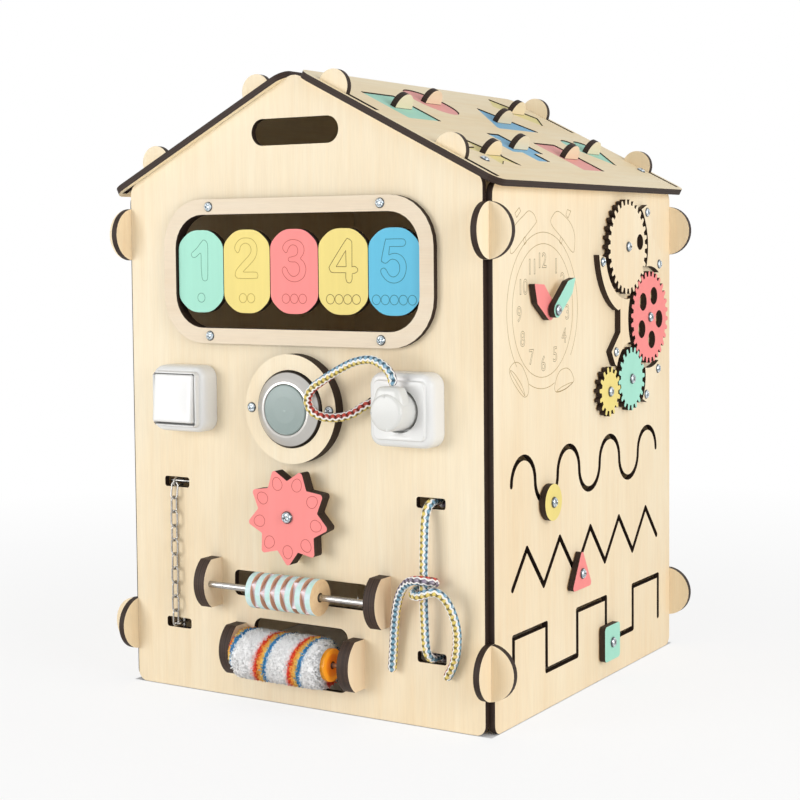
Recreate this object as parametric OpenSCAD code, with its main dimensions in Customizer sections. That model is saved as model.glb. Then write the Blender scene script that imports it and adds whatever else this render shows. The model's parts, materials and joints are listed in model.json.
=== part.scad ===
// Busy-board house: four plywood walls cross-lapped at the corners, two roof panels
// locked on hooks, and toys fixed to the front wall, the right wall and the right roof.
// X runs to the right along the front wall, Y runs back from it, Z is up.

/* [House] */
// Thickness of every plywood sheet
ply = 6; // [5.9:0.1:6.1]
// Length of each wall between the corners
wall_w = 380; // [378:1:382]
// Height of the left and right walls
side_h = 469; // [466:1:469]
// Height where the gable's vertical edge meets its slope
gable_eave_h = 472.5; // [472.5:0.5:474]
// Slope of the roof in degrees
roof_pitch = 27; // [26.8:0.1:27.2]
// Radius of the round corner ears
ear_r = 24.4; // [22:0.2:25]
// Heights of the two ears at each corner
ear_z = [54.9, 427.8];

/* [Roof] */
// Length of a roof panel down the slope
roof_l = 225; // [222:1:226]
// How far the roof stands out in front of and behind the walls
roof_over = 6; // [4:1:8]
// Places of the hooks, measured up the slope from the eave
hook_s = [56, 188];
// Radius of a hook
hook_r = 15.5; // [14:0.5:16]
// Gap round a puzzle tile in its cut-out
tile_gap = 0.6; // [0.4:0.1:0.8]
// Radius of a tile's half-round handle
handle_r = 14; // [12:0.5:15]

/* [Front wall] */
// Outer width of the window frame
frame_w = 292; // [290:1:294]
// Outer height of the window frame
frame_h = 132; // [130:1:134]
// Height of the window's middle
window_z = 393.3; // [393:0.1:394]
// Width of the wooden band round the window
frame_band = 14; // [13.5:0.5:14.5]
// Distance from one number plate to the next
plate_pitch = 52.4; // [52.4:0.1:52.6]
// Height of the switch, the lamp and the socket above the floor
middle_row_z = 271; // [270:1:272]
// Sides of the switch box and of the socket box
box_w = [61.5, 64.4];
// Depth of the switch box and of the socket box
box_d = 20; // [19.5:0.5:20.5]
// Tip radius of the star wheel
star_r = 45; // [42:1:46]
// Height of the spool's rod
spool_z = 106.2; // [105:0.1:107]
// Height of the paint roller's rod
roller_z = 47.5; // [46:0.5:48]
// Radius of the paint roller's pile
nap_r = 23.3; // [22:0.1:23.5]
// Distance of both rods from the wall
rod_out = 18; // [18:0.1:18.4]
// Radii of the spool's rod and of the paint roller's rod
rod_r = [3, 2];

/* [Right wall] */
// Module of the gear teeth
gear_m = 2.92; // [2.92:0.01:2.94]
// Teeth of the plain, coral, mint and yellow gears
gear_teeth = [30, 30, 20, 15];
// Place of the plain gear's axle
gear_start = [266.6, 412.3];
// Directions from each gear to the next
gear_turns = [-53, -127.2, -170.4];
// Play between meshing teeth
backlash = 0.6; // [0.5:0.05:0.8]
// Centre of the clock dial
clock_at = [99.4, 357.8];
// Width of the three track slots
slot_w = 5.3; // [5.2:0.1:5.6]
// Radius of the wave track's arcs
wave_r = 22.33; // [22.2:0.01:22.4]

/* [Ropes and chain] */
// Diameter of the ropes
rope_d = 8; // [7:0.5:8]
// Number of chain links that hang in front of the wall
link_count = 10; // [10:2:10]
// Diameter of the chain wire
wire_d = 1.8; // [1.6:0.1:1.8]

/* [Hidden] */
$fn = 64;

// Colours of the finishes
birch = [0.93, 0.86, 0.72];
mint = [0.65, 0.89, 0.8];
yellow = [0.94, 0.86, 0.51];
coral = [0.98, 0.57, 0.57];
blue = [0.4, 0.7, 0.87];
zinc = [0.72, 0.73, 0.74];
white = [0.93, 0.93, 0.92];

// The house
half_in = wall_w/2;                 // inner face of the side walls
half_out = half_in + ply;           // outer face of the side walls
house_d = wall_w + 2*ply;           // front face to back face
ear_x = half_in + ply/2;            // ears are centred where two walls cross
slope = tan(roof_pitch);
apex_h = gable_eave_h + half_in*slope;
roof_top_h = apex_h + ply/cos(roof_pitch);   // where the roof's top plane meets the middle
eave_x = 209;
eave_z = roof_top_h - eave_x*slope;
lap_gap = 0.2;                      // play in the cross-lap slots
fit = 0.06;                         // radial play of a shaft in its hole

// The origin is on the floor under the middle of the whole object
front_reach = rod_out + nap_r;
back_reach = house_d - ply/2 + ear_r;
mid_y = (back_reach - front_reach)/2;

// ---- Placing -------------------------------------------------------------------------

// On the front wall: x to the right, y up, z out of the wall
module on_front(x, z, out = 0)
    translate([x, -mid_y - out, z]) rotate([90, 0, 0]) children();

// On the right wall: x to the back, y up, z out of the wall
module on_right(y, z, out = 0)
    translate([half_out + out, y - mid_y, z]) rotate([90, 0, 90]) children();

// On the right roof: x to the back, y up the slope from the eave, z out of the roof
module on_roof(y, s, out = 0)
    translate([eave_x, y - mid_y, eave_z]) rotate([0, roof_pitch - 90, 0])
        rotate([90, 0, 90]) translate([0, s, out]) children();

// ---- Outlines ------------------------------------------------------------------------

function unit(v) = v/norm(v);
function arc(c, r, a0, a1, n = 12) =
    [for (i = [0:n]) let (a = a0 + (a1 - a0)*i/n) c + r*[cos(a), sin(a)]];

// One corner [x, y, radius] of a polygon, turned into a tangent arc
function corner(a, b, c) =
    let (p = [b.x, b.y], u = unit([a.x, a.y] - p), v = unit([c.x, c.y] - p),
         half = acos(u*v)/2, mid = p + unit(u + v)*b.z/sin(half),
         s = p + u*b.z/tan(half) - mid, turn = 180 - 2*half,
         side = cross(u, v) < 0 ? 1 : -1, n = max(2, ceil(turn/12)))
    b.z == 0 ? [p] : [for (i = [0:n]) let (a = side*turn*i/n)
        mid + [s.x*cos(a) - s.y*sin(a), s.x*sin(a) + s.y*cos(a)]];
function rounded(pts) = let (n = len(pts))
    [for (i = [0:n - 1]) each corner(pts[(i + n - 1)%n], pts[i], pts[(i + 1)%n])];

function box_points(w, h, r) = [[-w/2, -h/2, r], [w/2, -h/2, r], [w/2, h/2, r], [-w/2, h/2, r]];
module round_box(w, h, r) polygon(rounded(box_points(w, h, r)));

// A slot with round ends and its length along x
module slot(length, width) {
    square([length - width, width], center = true);
    for (s = [-1, 1]) translate([s*(length - width)/2, 0]) circle(d = width);
}
// One edge of a track along a line of points: s is 1 for the left edge and -1 for the right;
// the outer side of a sharp corner is an arc, and every other corner is mitred
function track_side(p, width, s) = let (n = len(p) - 1) [for (i = [0:n]) each
    let (a = unit(p[max(i, 1)] - p[max(i, 1) - 1]), b = unit(p[min(i + 1, n)] - p[min(i, n - 1)]),
         u = s*[-a.y, a.x], v = s*[-b.y, b.x], m = unit(u + v), turn = s*cross(a, b))
    turn < -0.3 ? [for (k = [0:6]) p[i] + width/2*unit(u*(6 - k) + v*k)] : [p[i] + width/2/(m*u)*m]];
function track_end(at, way, width) = let (a = atan2(way.y, way.x)) [for (k = [1:7])
    at + width/2*[cos(a + 90 - 22.5*k), sin(a + 90 - 22.5*k)]];
module track(p, width) let (n = len(p) - 1, right = track_side(p, width, -1), m = len(right) - 1)
    polygon(concat(track_side(p, width, 1), track_end(p[n], p[n] - p[n - 1], width),
        [for (i = [m:-1:0]) right[i]], track_end(p[0], p[0] - p[1], width)));
module half_disc(r, thick) difference() {
    cylinder(r = r, h = thick);
    translate([-r - 1, -2*r, -1]) cube([2*r + 2, 2*r, thick + 2]);
}

// ---- Fasteners -----------------------------------------------------------------------

// A pan-head wood screw with its head on the surface at z = 0 and its point below
module wood_screw(length = 11, head_r = 4.6) {
    rotate_extrude() polygon(concat([[0, 1.6], [0.9, 1.1], [1.2, 2.3]],
        [[2.6, 2.2], [head_r - 0.6, 1.3], [head_r, 0.3], [head_r, 0], [1.5, 0]],
        [[1.5, 3 - length], [0, -length]]));
}
// A dome-head bolt: the head's underside at z = 0, a washer and a nut at the far end
module bolt(grip, head_r = 4.8) {
    rotate_extrude() polygon([[0, 1.4], [1.3, 1.4], [1.6, 3], [2.8, 2.6], [head_r - 0.7, 1.6],
        [head_r, 0.5], [head_r, 0], [2.5, 0], [2.5, -grip - 6.5], [0, -grip - 6.5]]);
    translate([0, 0, -grip - 1]) washer(6, 1);
    translate([0, 0, -grip - 5]) difference() {
        cylinder(r = 4.6, h = 4, $fn = 6);
        translate([0, 0, -1]) cylinder(r = 2.5, h = 6);
    }
}
module washer(r, thick, bore = 2.5) difference() {
    cylinder(r = r, h = thick);
    translate([0, 0, -1]) cylinder(r = bore, h = thick + 2);
}

// ---- Walls ---------------------------------------------------------------------------

foot_r = 9;
shoulder_r = 12;
handle_hole = [94, 24];
handle_hole_z = 518;

// The cross-lap slot of an ear: open to the top or to the bottom, up to the ear's middle
module lap_slots(up) for (s = [-1, 1], z = ear_z)
    translate([s*ear_x - ply/2 - lap_gap/2, up ? z : z - ear_r - 1])
        square([ply + lap_gap, ear_r + 1]);
module ears() for (s = [-1, 1], z = ear_z) translate([s*ear_x, z]) circle(r = ear_r);

// The hooks stand on the gable's slope, with a neck through the roof panel
hook_neck = [-hook_r, 8];
module gable_hooks() for (side = [0, 1], s = hook_s)
    mirror([side, 0]) translate([eave_x, eave_z]) rotate(180 - roof_pitch) mirror([0, 1])
        translate([s, 0]) {
            translate([hook_neck[0], -ply - 3]) square([hook_neck[1] - hook_neck[0], ply + 4]);
            intersection() {
                circle(r = hook_r);
                translate([-hook_r, 0.1]) square([2*hook_r, hook_r]);
            }
        }

module gable() difference() {
    union() {
        polygon(rounded([[-half_in, 0, foot_r], [half_in, 0, foot_r],
            [half_in, gable_eave_h, shoulder_r], [0, apex_h, 16],
            [-half_in, gable_eave_h, shoulder_r]]));
        ears();
        gable_hooks();
    }
    lap_slots(true);
    translate([0, handle_hole_z]) slot(handle_hole.x, handle_hole.y);
}

// Places on the front wall, from its middle and from the floor
switch_at = [-121.3, middle_row_z + 5];
lamp_at = [0, middle_row_z];
socket_at = [120.1, middle_row_z + 4.9];
star_at = [0, 174.8];
chain_x = -139.5;
rope_x = 138;
rope_slot_z = [61.1, 195.3];
chain_slot_z = [61.2, 195.2];
rope_slot = [29, 9.7];
spool_slot = [146, 23.5];
spool_slot_z = 106.5;
roller_slot = [103, 58];
roller_slot_z = 47;
plug_rope_slot = [20, 9.8];
plug_rope_at = [84, 279];
window = [frame_w - 2*frame_band, frame_h - 2*frame_band];
window_r = 31;

module front_panel() color(birch) on_front(0, 0, -ply) difference() {
    linear_extrude(ply) difference() {
        gable();
        translate([0, window_z]) round_box(window.x, window.y, window_r);
        for (z = chain_slot_z) translate([chain_x, z]) round_box(rope_slot.x, rope_slot.y, 2.5);
        for (z = rope_slot_z) translate([rope_x, z]) round_box(rope_slot.x, rope_slot.y, 2.5);
        translate([0, spool_slot_z]) round_box(spool_slot.x, spool_slot.y, 5);
        translate([0, roller_slot_z]) round_box(roller_slot.x, roller_slot.y, 9);
        translate(star_at) circle(r = 2.5 + fit);
        translate(plug_rope_at) slot(plug_rope_slot.x, plug_rope_slot.y);
    }
    rod_groove();
}

module back_panel() color(birch) on_front(0, 0, -house_d) linear_extrude(ply) gable();

module side_panel() difference() {
    union() {
        translate([house_d/2, 0]) polygon(rounded([[-half_in, 0, foot_r], [half_in, 0, foot_r],
            [half_in, side_h, shoulder_r], [-half_in, side_h, shoulder_r]]));
        translate([house_d/2, 0]) ears();
    }
    translate([house_d/2, 0]) lap_slots(false);
}

module left_panel() color(birch) mirror([1, 0, 0]) on_right(0, 0, -ply)
    linear_extrude(ply) side_panel();

// Tracks on the right wall
wave_z = 209;
wave_start = 59.7;
zig_y = [38.6, 65.9, 98.2, 130.5, 162.8, 195.1, 227.4, 259.7, 292, 324.3, 352];
zig_z = [119, 150.7, 112.7, 150.7, 112.7, 150.7, 112.7, 150.7, 112.7, 150.7, 119];
step_start = 39.9;
step_pitch = 63.2;
step_z = [34.8, 77];

wave_points = [for (i = [0:6], k = [(i == 0 ? 0 : 1):16]) let (a = 180 - 11.25*k)
    [wave_start + 2*wave_r*i + wave_r*cos(a), wave_z + (i%2 == 0 ? 1 : -1)*wave_r*sin(a)]];
zigzag_points = [for (i = [0:len(zig_y) - 1]) [zig_y[i], zig_z[i]]];
step_points = [for (i = [0:5]) each [for (j = [0, 1])
    [step_start + step_pitch*i, step_z[(i + j)%2]]]];

module right_panel() color(birch) on_right(0, 0, -ply) linear_extrude(ply) difference() {
    side_panel();
    for (p = [wave_points, zigzag_points, step_points]) track(p, slot_w);
    for (p = gear_at) translate(p) circle(r = 2.5 + fit);
    translate(clock_at) circle(r = 2.5 + fit);
}

// ---- Roof ----------------------------------------------------------------------------

roof_corner_r = 13;
hook_slot_l = 58;
hook_slot_w = ply + 0.6;

module roof_blank() difference() {
    translate([-roof_over, 0]) polygon(rounded([[0, 0, roof_corner_r],
        [house_d + 2*roof_over, 0, roof_corner_r],
        [house_d + 2*roof_over, roof_l, roof_corner_r], [0, roof_l, roof_corner_r]]));
    for (y = [ply/2, house_d - ply/2], s = hook_s)
        translate([y - hook_slot_w/2, s + hook_neck[1] + 0.3 - hook_slot_l])
            square([hook_slot_w, hook_slot_l]);
}

// The eight puzzle shapes; grow widens an outline to make its cut-out
tile_at = [[68, 156], [157, 180], [333, 182], [246.5, 148], [74, 58], [162, 78.5], [244, 65],
    [330, 84]];

module square_shape(grow = 0) round_box(56 + 2*grow, 56 + 2*grow, 2);
module circle_shape(grow = 0) circle(r = 28.5 + grow);
module oblong_shape(grow = 0) rotate(-50) round_box(56 + 2*grow, 36 + 2*grow, 2);
module triangle_shape(grow = 0) polygon(rounded([[-43 - 2.1*grow, -21 - grow, 2],
    [43 + 2.1*grow, -21 - grow, 2], [0, 32 + 1.6*grow, 2]]));
module star_shape(grow = 0) polygon(rounded([for (i = [0:9])
    let (r = (i%2 == 0 ? 31 : 14.5) + 1.4*grow) [r*sin(36*i), r*cos(36*i), i%2 == 0 ? 1.5 : 1]]));
module cross_shape(grow = 0) let (a = 30 + grow, b = 11.5 + grow) polygon(rounded([
    [-b, -a, 1.5], [b, -a, 1.5], [b, -b, 1], [a, -b, 1.5], [a, b, 1.5], [b, b, 1], [b, a, 1.5],
    [-b, a, 1.5], [-b, b, 1], [-a, b, 1.5], [-a, -b, 1.5], [-b, -b, 1]]));
module block_shape(grow = 0) round_box(46 + 2*grow, 60 + 2*grow, 2);
// Two lobes that meet on the middle line, and a point below
heart_lobe = [14.5, 12, 15.5];      // centre and radius
module heart_shape(grow = 0) let (r = heart_lobe.z + grow, cut = acos(heart_lobe.x/r),
    lobe = arc([heart_lobe.x, heart_lobe.y], r, -38, 180 - cut, 16))
    polygon(concat([[0, -31 - 1.4*grow]], lobe, [for (i = [15:-1:0]) [-lobe[i].x, lobe[i].y]]));
module tile_shape(i, grow = 0) {
    if (i == 0) square_shape(grow);
    if (i == 1) circle_shape(grow);
    if (i == 2) oblong_shape(grow);
    if (i == 3) triangle_shape(grow);
    if (i == 4) star_shape(grow);
    if (i == 5) cross_shape(grow);
    if (i == 6) block_shape(grow);
    if (i == 7) heart_shape(grow);
}
tile_sink = 1;                      // the tiles lie a little below the roof

module roof_right() color(birch) on_roof(0, 0, -ply) linear_extrude(ply) difference() {
    roof_blank();
    for (i = [0:7]) translate(tile_at[i]) tile_shape(i, tile_gap);
}
module roof_left() color(birch) mirror([1, 0, 0]) on_roof(0, 0, -ply)
    linear_extrude(ply) roof_blank();
// A thin board under the cut-outs carries the tiles
backing_y = [8, house_d - 8];
backing_s = [28, 215];
backing_t = 3;
module roof_backing() color(birch) on_roof(backing_y[0], backing_s[0], -ply - backing_t)
    cube([backing_y[1] - backing_y[0], backing_s[1] - backing_s[0], backing_t]);

// A tile with its half-round handle set across the slope
module tile(i, paint) on_roof(tile_at[i].x, tile_at[i].y) {
    color(paint) translate([0, 0, -ply]) linear_extrude(ply - tile_sink) tile_shape(i);
    color(birch) translate([0, ply/2, -tile_sink]) rotate([90, 0, 0]) half_disc(handle_r, ply);
}

// ---- Window and number plates --------------------------------------------------------

number_rod_r = 1.75;
number_rod_l = 2*(window.x/2 + 9);
frame_screws = [for (a = [-1, 1], b = [-1, 1]) [92.9*a, window_z + 59.1*b]];

// Half of the rod's seat is in the wall and half in the frame
module rod_groove() translate([-number_rod_l/2, window_z, ply]) rotate([0, 90, 0])
    cylinder(r = number_rod_r, h = number_rod_l);

module window_frame() color(birch) on_front(0, 0) difference() {
    linear_extrude(ply) translate([0, window_z]) difference() {
        round_box(frame_w, frame_h, window_r + frame_band - 1);
        round_box(window.x, window.y, window_r);
        for (p = frame_screws) translate([p.x, p.y - window_z]) circle(r = 1.6);
    }
    translate([0, 0, -ply]) rod_groove();
}
module number_rod() color(zinc) on_front(-number_rod_l/2, window_z) rotate([0, 90, 0])
    cylinder(r = number_rod_r, h = number_rod_l);

plate_h = 75.7;
plate_w = 51.6;
plate_corner = [[25.5, 13], [12.5, 22]];   // side corners: height, radius; top corners: x, radius
plate_paint = [mint, yellow, coral, yellow, blue];
module number_plate(i) color(plate_paint[i - 1])
    on_front((i - 3)*plate_pitch, window_z) difference() {
        c = plate_corner;
        translate([0, 0, -ply/2]) linear_extrude(ply) polygon(rounded([for (s = [1, -1]) each [
            [s*plate_w/2, -s*c[0][0], c[0][1]], [s*plate_w/2, s*c[0][0], c[0][1]],
            [s*c[1][0], s*plate_h/2, c[1][1]], [-s*c[1][0], s*plate_h/2, c[1][1]]]]));
        translate([-plate_w, 0, 0]) rotate([0, 90, 0])
            cylinder(r = number_rod_r + fit, h = 2*plate_w);
    }

// ---- Switch, lamp, socket and plug ---------------------------------------------------

box_r = 12;
box_steps = [[5, 0], [2.5, 3], [0, 6.5]];   // steps of the front edge: depth left, width lost
lip_w = 51;                         // the raised square on the face

// A shallow box with rounded corners, a stepped front edge and a raised square on its face
module box_shell(w, lip) {
    for (s = box_steps) linear_extrude(box_d - s[0]) round_box(w - s[1], w - s[1], box_r - s[1]/2);
    linear_extrude(lip) round_box(lip_w, lip_w, 5);
}

rocker = [45, 44.3];                // width and height
rocker_axis_out = 16;
rocker_tilt = 5;
switch_lip = 25;
module switch_box() color(white) on_front(switch_at.x, switch_at.y) difference() {
    box_shell(box_w[0], switch_lip);
    translate([0, 0, 9]) linear_extrude(switch_lip) round_box(rocker.x + 2, rocker.y + 2.8, 1.5);
    translate([-rocker.x/2 - 3, 0, rocker_axis_out]) rotate([0, 90, 0])
        cylinder(r = 2 + fit, h = rocker.x + 6);
}
// The rocker turns on two stub pins; its lower edge stands proud at rest
module switch_rocker() color(white) on_front(switch_at.x, switch_at.y, rocker_axis_out)
    rotate([-rocker_tilt, 0, 0]) {
        rotate([90, 0, 90]) translate([0, 0, -rocker.x/2]) linear_extrude(rocker.x)
            polygon(rounded([[-rocker.y/2, -3, 1], [rocker.y/2, -3, 1], [rocker.y/2, 12, 2],
                [0, 10.6, 0], [-rocker.y/2, 12, 2]]));
        rotate([0, 90, 0]) translate([0, 0, -rocker.x/2 - 2.6])
            cylinder(r = 2, h = rocker.x + 5.2);
    }

lamp_ring_r = [35, 49];
lamp_screws = [-42, 42];
module lamp_ring() color(birch) on_front(lamp_at.x, lamp_at.y) for (i = [0, 1])
    translate([0, 0, i*ply]) linear_extrude(ply) difference() {
        circle(r = lamp_ring_r[1]);
        circle(r = lamp_ring_r[0]);
        for (x = lamp_screws) translate([x, 0]) circle(r = 1.6);
    }
// A battery push lamp: a metallic collar that rises to the button
module lamp_housing() color(zinc) on_front(lamp_at.x, lamp_at.y) rotate_extrude()
    polygon([[0, 0], [34.3, 0], [34.3, 13], [33, 14.6], [28, 18], [25, 19.6], [23.4, 19.8],
        [22.7, 19.2], [22.7, 9], [0, 9]]);
module lamp_button() color([0.6, 0.67, 0.64]) on_front(lamp_at.x, lamp_at.y, 14)
    rotate_extrude() polygon([[0, 0], [22.3, 0], [22.3, 5.2], [21.4, 6.1], [12, 6.6], [0, 6.7]]);

plug_r = [16.8, 16];                // at the socket and at the front
plug_out = 44;
socket_lip = 23;
socket_well = [19, 11];             // radius of the round well, and how far out its floor is
pin_x = 9.5;
pin_r = 2.4;
pin_l = 9.5;
neck = [11, 21.5];                  // half width and height of the neck's end
module socket_box() color(white) on_front(socket_at.x, socket_at.y) difference() {
    box_shell(box_w[1], socket_lip);
    translate([0, 0, socket_well[1]]) cylinder(r = socket_well[0], h = box_d);
    for (s = [-1, 1]) translate([s*pin_x, 0, socket_well[1] - pin_l - 0.5])
        cylinder(r = pin_r + fit, h = box_d);
}
// The plug: a round body with a neck on top, where the rope comes out
module plug() on_front(socket_at.x, socket_at.y) {
    base = socket_well[1] + 0.2;
    color(white) {
        rotate_extrude() polygon([[0, base], [plug_r[0], base], [plug_r[0], socket_lip + 2],
            [plug_r[1], socket_lip + 9], [plug_r[1], plug_out - 2], [plug_r[1] - 2, plug_out],
            [0, plug_out]]);
        translate([0, 0, socket_lip + 2]) linear_extrude(plug_out - socket_lip - 4)
            polygon(rounded([[-plug_r[1] + 1, 4, 0], [plug_r[1] - 1, 4, 0],
                [plug_r[1] - 1.5, 12, 3], [neck.x, neck.y, 2], [-neck.x, neck.y, 2],
                [-plug_r[1] + 1.5, 12, 3]]));
    }
    color(zinc) for (s = [-1, 1]) translate([s*pin_x, 0, base - pin_l]) {
        cylinder(r = pin_r, h = pin_l);
    }
}

// ---- Star wheel ----------------------------------------------------------------------

star_points = 9;
star_valley_r = 32.5;
module star_wheel() for (layer = [0, 1]) color(layer == 1 ? coral : birch)
    on_front(star_at.x, star_at.y, (1 + layer)*ply) difference() {
        linear_extrude(ply) polygon(rounded([for (i = [0:2*star_points - 1])
            let (r = i%2 == 0 ? star_r : star_valley_r, a = -90 + 180/star_points*i)
            [r*cos(a), r*sin(a), i%2 == 0 ? 3 : 1.5]]));
        translate([0, 0, -1]) cylinder(r = 2.5 + fit, h = ply + 2);
    }
module star_spacer() color(birch) on_front(star_at.x, star_at.y) washer(12, ply, 2.5);

// ---- Chain ---------------------------------------------------------------------------

link_w = 9;
link_gap = 0.05;
chain_out = 5.05;                   // the hanging links stand clear of the wall
first_out = 3.2;                    // the first link starts nearer the wall
// The points where one link passes into the next: ten links hang between the slots
joints = let (top = chain_slot_z[1] - wire_d/2, foot = chain_slot_z[0] - wire_d/2)
    [for (i = [0:link_count]) [i == 0 ? first_out : chain_out, top - (top - foot)*i/link_count]];
// One oval link with its length along y, made to a centre-line length
module link(length) {
    bend = (link_w - wire_d)/2;
    straight = length - 2*bend;
    for (s = [-1, 1]) {
        translate([s*bend, -straight/2, 0]) rotate([-90, 0, 0])
            cylinder(d = wire_d, h = straight, $fn = 16);
        translate([0, s*straight/2, 0]) rotate(s > 0 ? 0 : 180)
            rotate_extrude(angle = 180, $fn = 24) translate([bend, 0]) circle(d = wire_d, $fn = 16);
    }
}
end_link_l = 15.3;
end_link_out = chain_out - end_link_l/2;
// The hanging links stand alternately flat and edge-on; the end links go through the wall
module chain() color(zinc) {
    for (i = [0:link_count - 1]) let (a = joints[i], b = joints[i + 1], d = a - b)
        on_front(chain_x, (a.y + b.y)/2, (a.x + b.x)/2) rotate([atan2(d.x, d.y), 0, 0])
            rotate([0, i%2 == 1 ? 90 : 0, 0]) link(norm(d) + wire_d + 2*link_gap);
    for (i = [0, 1]) on_front(chain_x, chain_slot_z[i], end_link_out)
        rotate([90, 0, 0]) rotate([0, i == 1 ? 90 : 0, 0]) link(end_link_l);
}
// Steel pins behind the wall hold the end links: the upper one lies, the lower one stands
pin_d = 3.2;
module chain_pins() color(zinc) for (i = [0, 1])
    on_front(chain_x, chain_slot_z[i], -ply - pin_d/2 - 0.1)
        rotate(i == 1 ? [0, 90, 0] : [90, 0, 0]) cylinder(d = pin_d, h = 26, center = true);

// ---- Spool and paint roller ----------------------------------------------------------

// Distance of the brackets' inner faces from their common middle
bracket_mid_x = -1.5;
spool_bracket_x = 86.5;
roller_bracket_x = 58.5;
bracket_r = 27.3;                   // the round edge is centred on the wall
bracket_half_h = 22.2;              // flat edges above and below
// Two pieces of ply side by side; only the inner one is drilled for the rod
module bracket_pair(z, inner_x, r) color(birch) let (a = asin(bracket_half_h/bracket_r))
    for (s = [0, 1]) translate([bracket_mid_x, -mid_y, z]) mirror([s, 0, 0])
        translate([inner_x, 0, 0]) for (i = [0, 1]) translate([i*ply, 0, 0])
            rotate([0, 90, 0]) rotate(180) difference() {
                linear_extrude(ply) polygon(concat([[-bracket_half_h, 0], [bracket_half_h, 0]],
                    arc([0, 0], bracket_r, 90 - a, 90 + a, 16)));
                if (i == 0) translate([0, rod_out, -1]) cylinder(r = r, h = ply + 1);
            }
module rod(z, inner_x, r) color(zinc)
    translate([bracket_mid_x - inner_x - ply + 1, -mid_y - rod_out, z])
        rotate([0, 90, 0]) cylinder(r = r, h = 2*(inner_x + ply - 1));
module spool_brackets() bracket_pair(spool_z, spool_bracket_x, rod_r[0]);
module roller_brackets() bracket_pair(roller_z, roller_bracket_x, rod_r[1]);
module spool_rod() rod(spool_z, spool_bracket_x, rod_r[0]);
module roller_rod() rod(roller_z, roller_bracket_x, rod_r[1]);

// The spool is a stack of round plates with square ones between them, turned at random
spool_r = 16.2;
spool_start_x = -36;
spool_plates = [5.7, 5.1];          // thickness of the round and of the square plates
spool_square = [22.9, 0.8];         // side, and radius of the corners
spool_turns = [30, 5, 11, 20, 54, 25];
glued = 0.01;                       // the square plates reach into the round ones
module spool() color(mint) translate([spool_start_x, -mid_y - rod_out, spool_z])
    rotate([0, 90, 0]) let (n = len(spool_turns), pair = spool_plates[0] + spool_plates[1])
        difference() {
            union() {
                for (i = [0:n]) translate([0, 0, pair*i]) cylinder(r = spool_r, h = spool_plates[0]);
                for (i = [0:n - 1]) translate([0, 0, pair*i + spool_plates[0] - glued])
                    rotate(45 - spool_turns[i]) linear_extrude(spool_plates[1] + 2*glued)
                        round_box(spool_square[0], spool_square[0], spool_square[1]);
            }
            translate([0, 0, -1]) cylinder(r = rod_r[0] + fit, h = pair*(n + 1));
        }

// A turned piece on the roller's rod: [distance along the rod, radius] pairs become a revolve
module turned(x, profile) translate([x, -mid_y - rod_out, roller_z]) rotate([0, 90, 0])
    rotate_extrude() polygon([for (p = profile) [p[1], p[0]]]);

nap_x = [-57, 43];
core_r = [12.5, 14.2];
tuck = 6;                           // pile pressed small beside the slot's end
module roller_nap() color(white) let (l = nap_x[1] - nap_x[0], c = core_r[1])
    turned(nap_x[0], [[0, c], [0, 16.6], [1, 17.4], [tuck, 17.4], [tuck + 0.5, nap_r - 2],
        [tuck + 3, nap_r], [l - 6, nap_r], [l - 2, nap_r - 2], [l, 18], [l, c]]);
module roller_core() color(white) let (l = nap_x[1] - nap_x[0])
    turned(nap_x[0], [[0, core_r[0]], [0, core_r[1]], [l, core_r[1]], [l, core_r[0]]]);
cap_flange = [14.6, 4];             // radius and thickness outside the core
module roller_caps() color("orange") let (b = rod_r[1] + fit) {
    turned(nap_x[1] - 10, [[0, b], [0, core_r[0]], [10, core_r[0]],
        [10, cap_flange[0]], [10 + cap_flange[1], cap_flange[0]], [10 + cap_flange[1], b]]);
    turned(nap_x[0], [[0, b], [0, core_r[0]], [10, core_r[0]], [10, b]]);
}

// ---- Ropes ---------------------------------------------------------------------------

// Route points as [x, out from the wall, height]
main_route = [[138, -18, 196.2], [138, -8, 196], [138, 0.5, 195.2], [138, 7, 190.5],
    [138, 10.5, 181], [138, 12, 163], [138, 13, 144], [138, 13, 112], [138, 12, 93],
    [138, 10.5, 76], [138, 7, 66], [138, 0.5, 61.2], [138, -8, 60.6], [138, -18, 60.6]];
tied_route = [[101, 6, 46], [103, 6.5, 66], [106, 9, 88], [110.5, 12, 107], [117.5, 15.5, 121],
    [126.5, 19, 129.5], [137, 22.2, 132.5], [145.5, 18.8, 132], [147.5, 12, 130.5], [145, 6.5, 128],
    [138, 4, 125.5], [131, 6.5, 123], [128.5, 12.5, 120.5], [131, 18.8, 118.5], [138.5, 22.6, 119],
    [147.5, 23.5, 122.5], [155.5, 21.5, 123.5], [162, 17.5, 117], [166.5, 13, 104], [168, 9, 88],
    [166, 7, 70], [161.5, 6, 57], [155, 5.5, 46]];
plug_route = [[121, 33.5, 298], [120.4, 33, 305], [113, 32, 313.5], [99, 30.5, 319],
    [82, 29.5, 317], [65, 28.5, 310], [47, 27.5, 300], [34, 27, 291], [29.5, 26.5, 281],
    [34, 25.5, 271.5], [44, 22.5, 267], [57, 16, 267], [67, 11, 270.5], [74, 6, 276],
    [80, 0, 279], [86, -6, 279], [90, -11, 279], [91, -18, 279]];

// A point of a smooth curve through the route: Catmull-Rom between p[i] and p[i + 1]
function blend(p, i, t) = let (n = len(p) - 1, a = p[max(i - 1, 0)], b = p[i],
    c = p[min(i + 1, n)], d = p[min(i + 2, n)])
    ((2*b) + (c - a)*t + (2*a - 5*b + 4*c - d)*t*t + (3*b - a - 3*c + d)*t*t*t)/2;
function smooth(p, parts) = concat([for (i = [0:len(p) - 2], k = [0:parts - 1])
    blend(p, i, k/parts)], [p[len(p) - 1]]);
function tangents(p) = let (n = len(p) - 1)
    [for (i = [0:n]) unit(p[min(i + 1, n)] - p[max(i - 1, 0)])];
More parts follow.
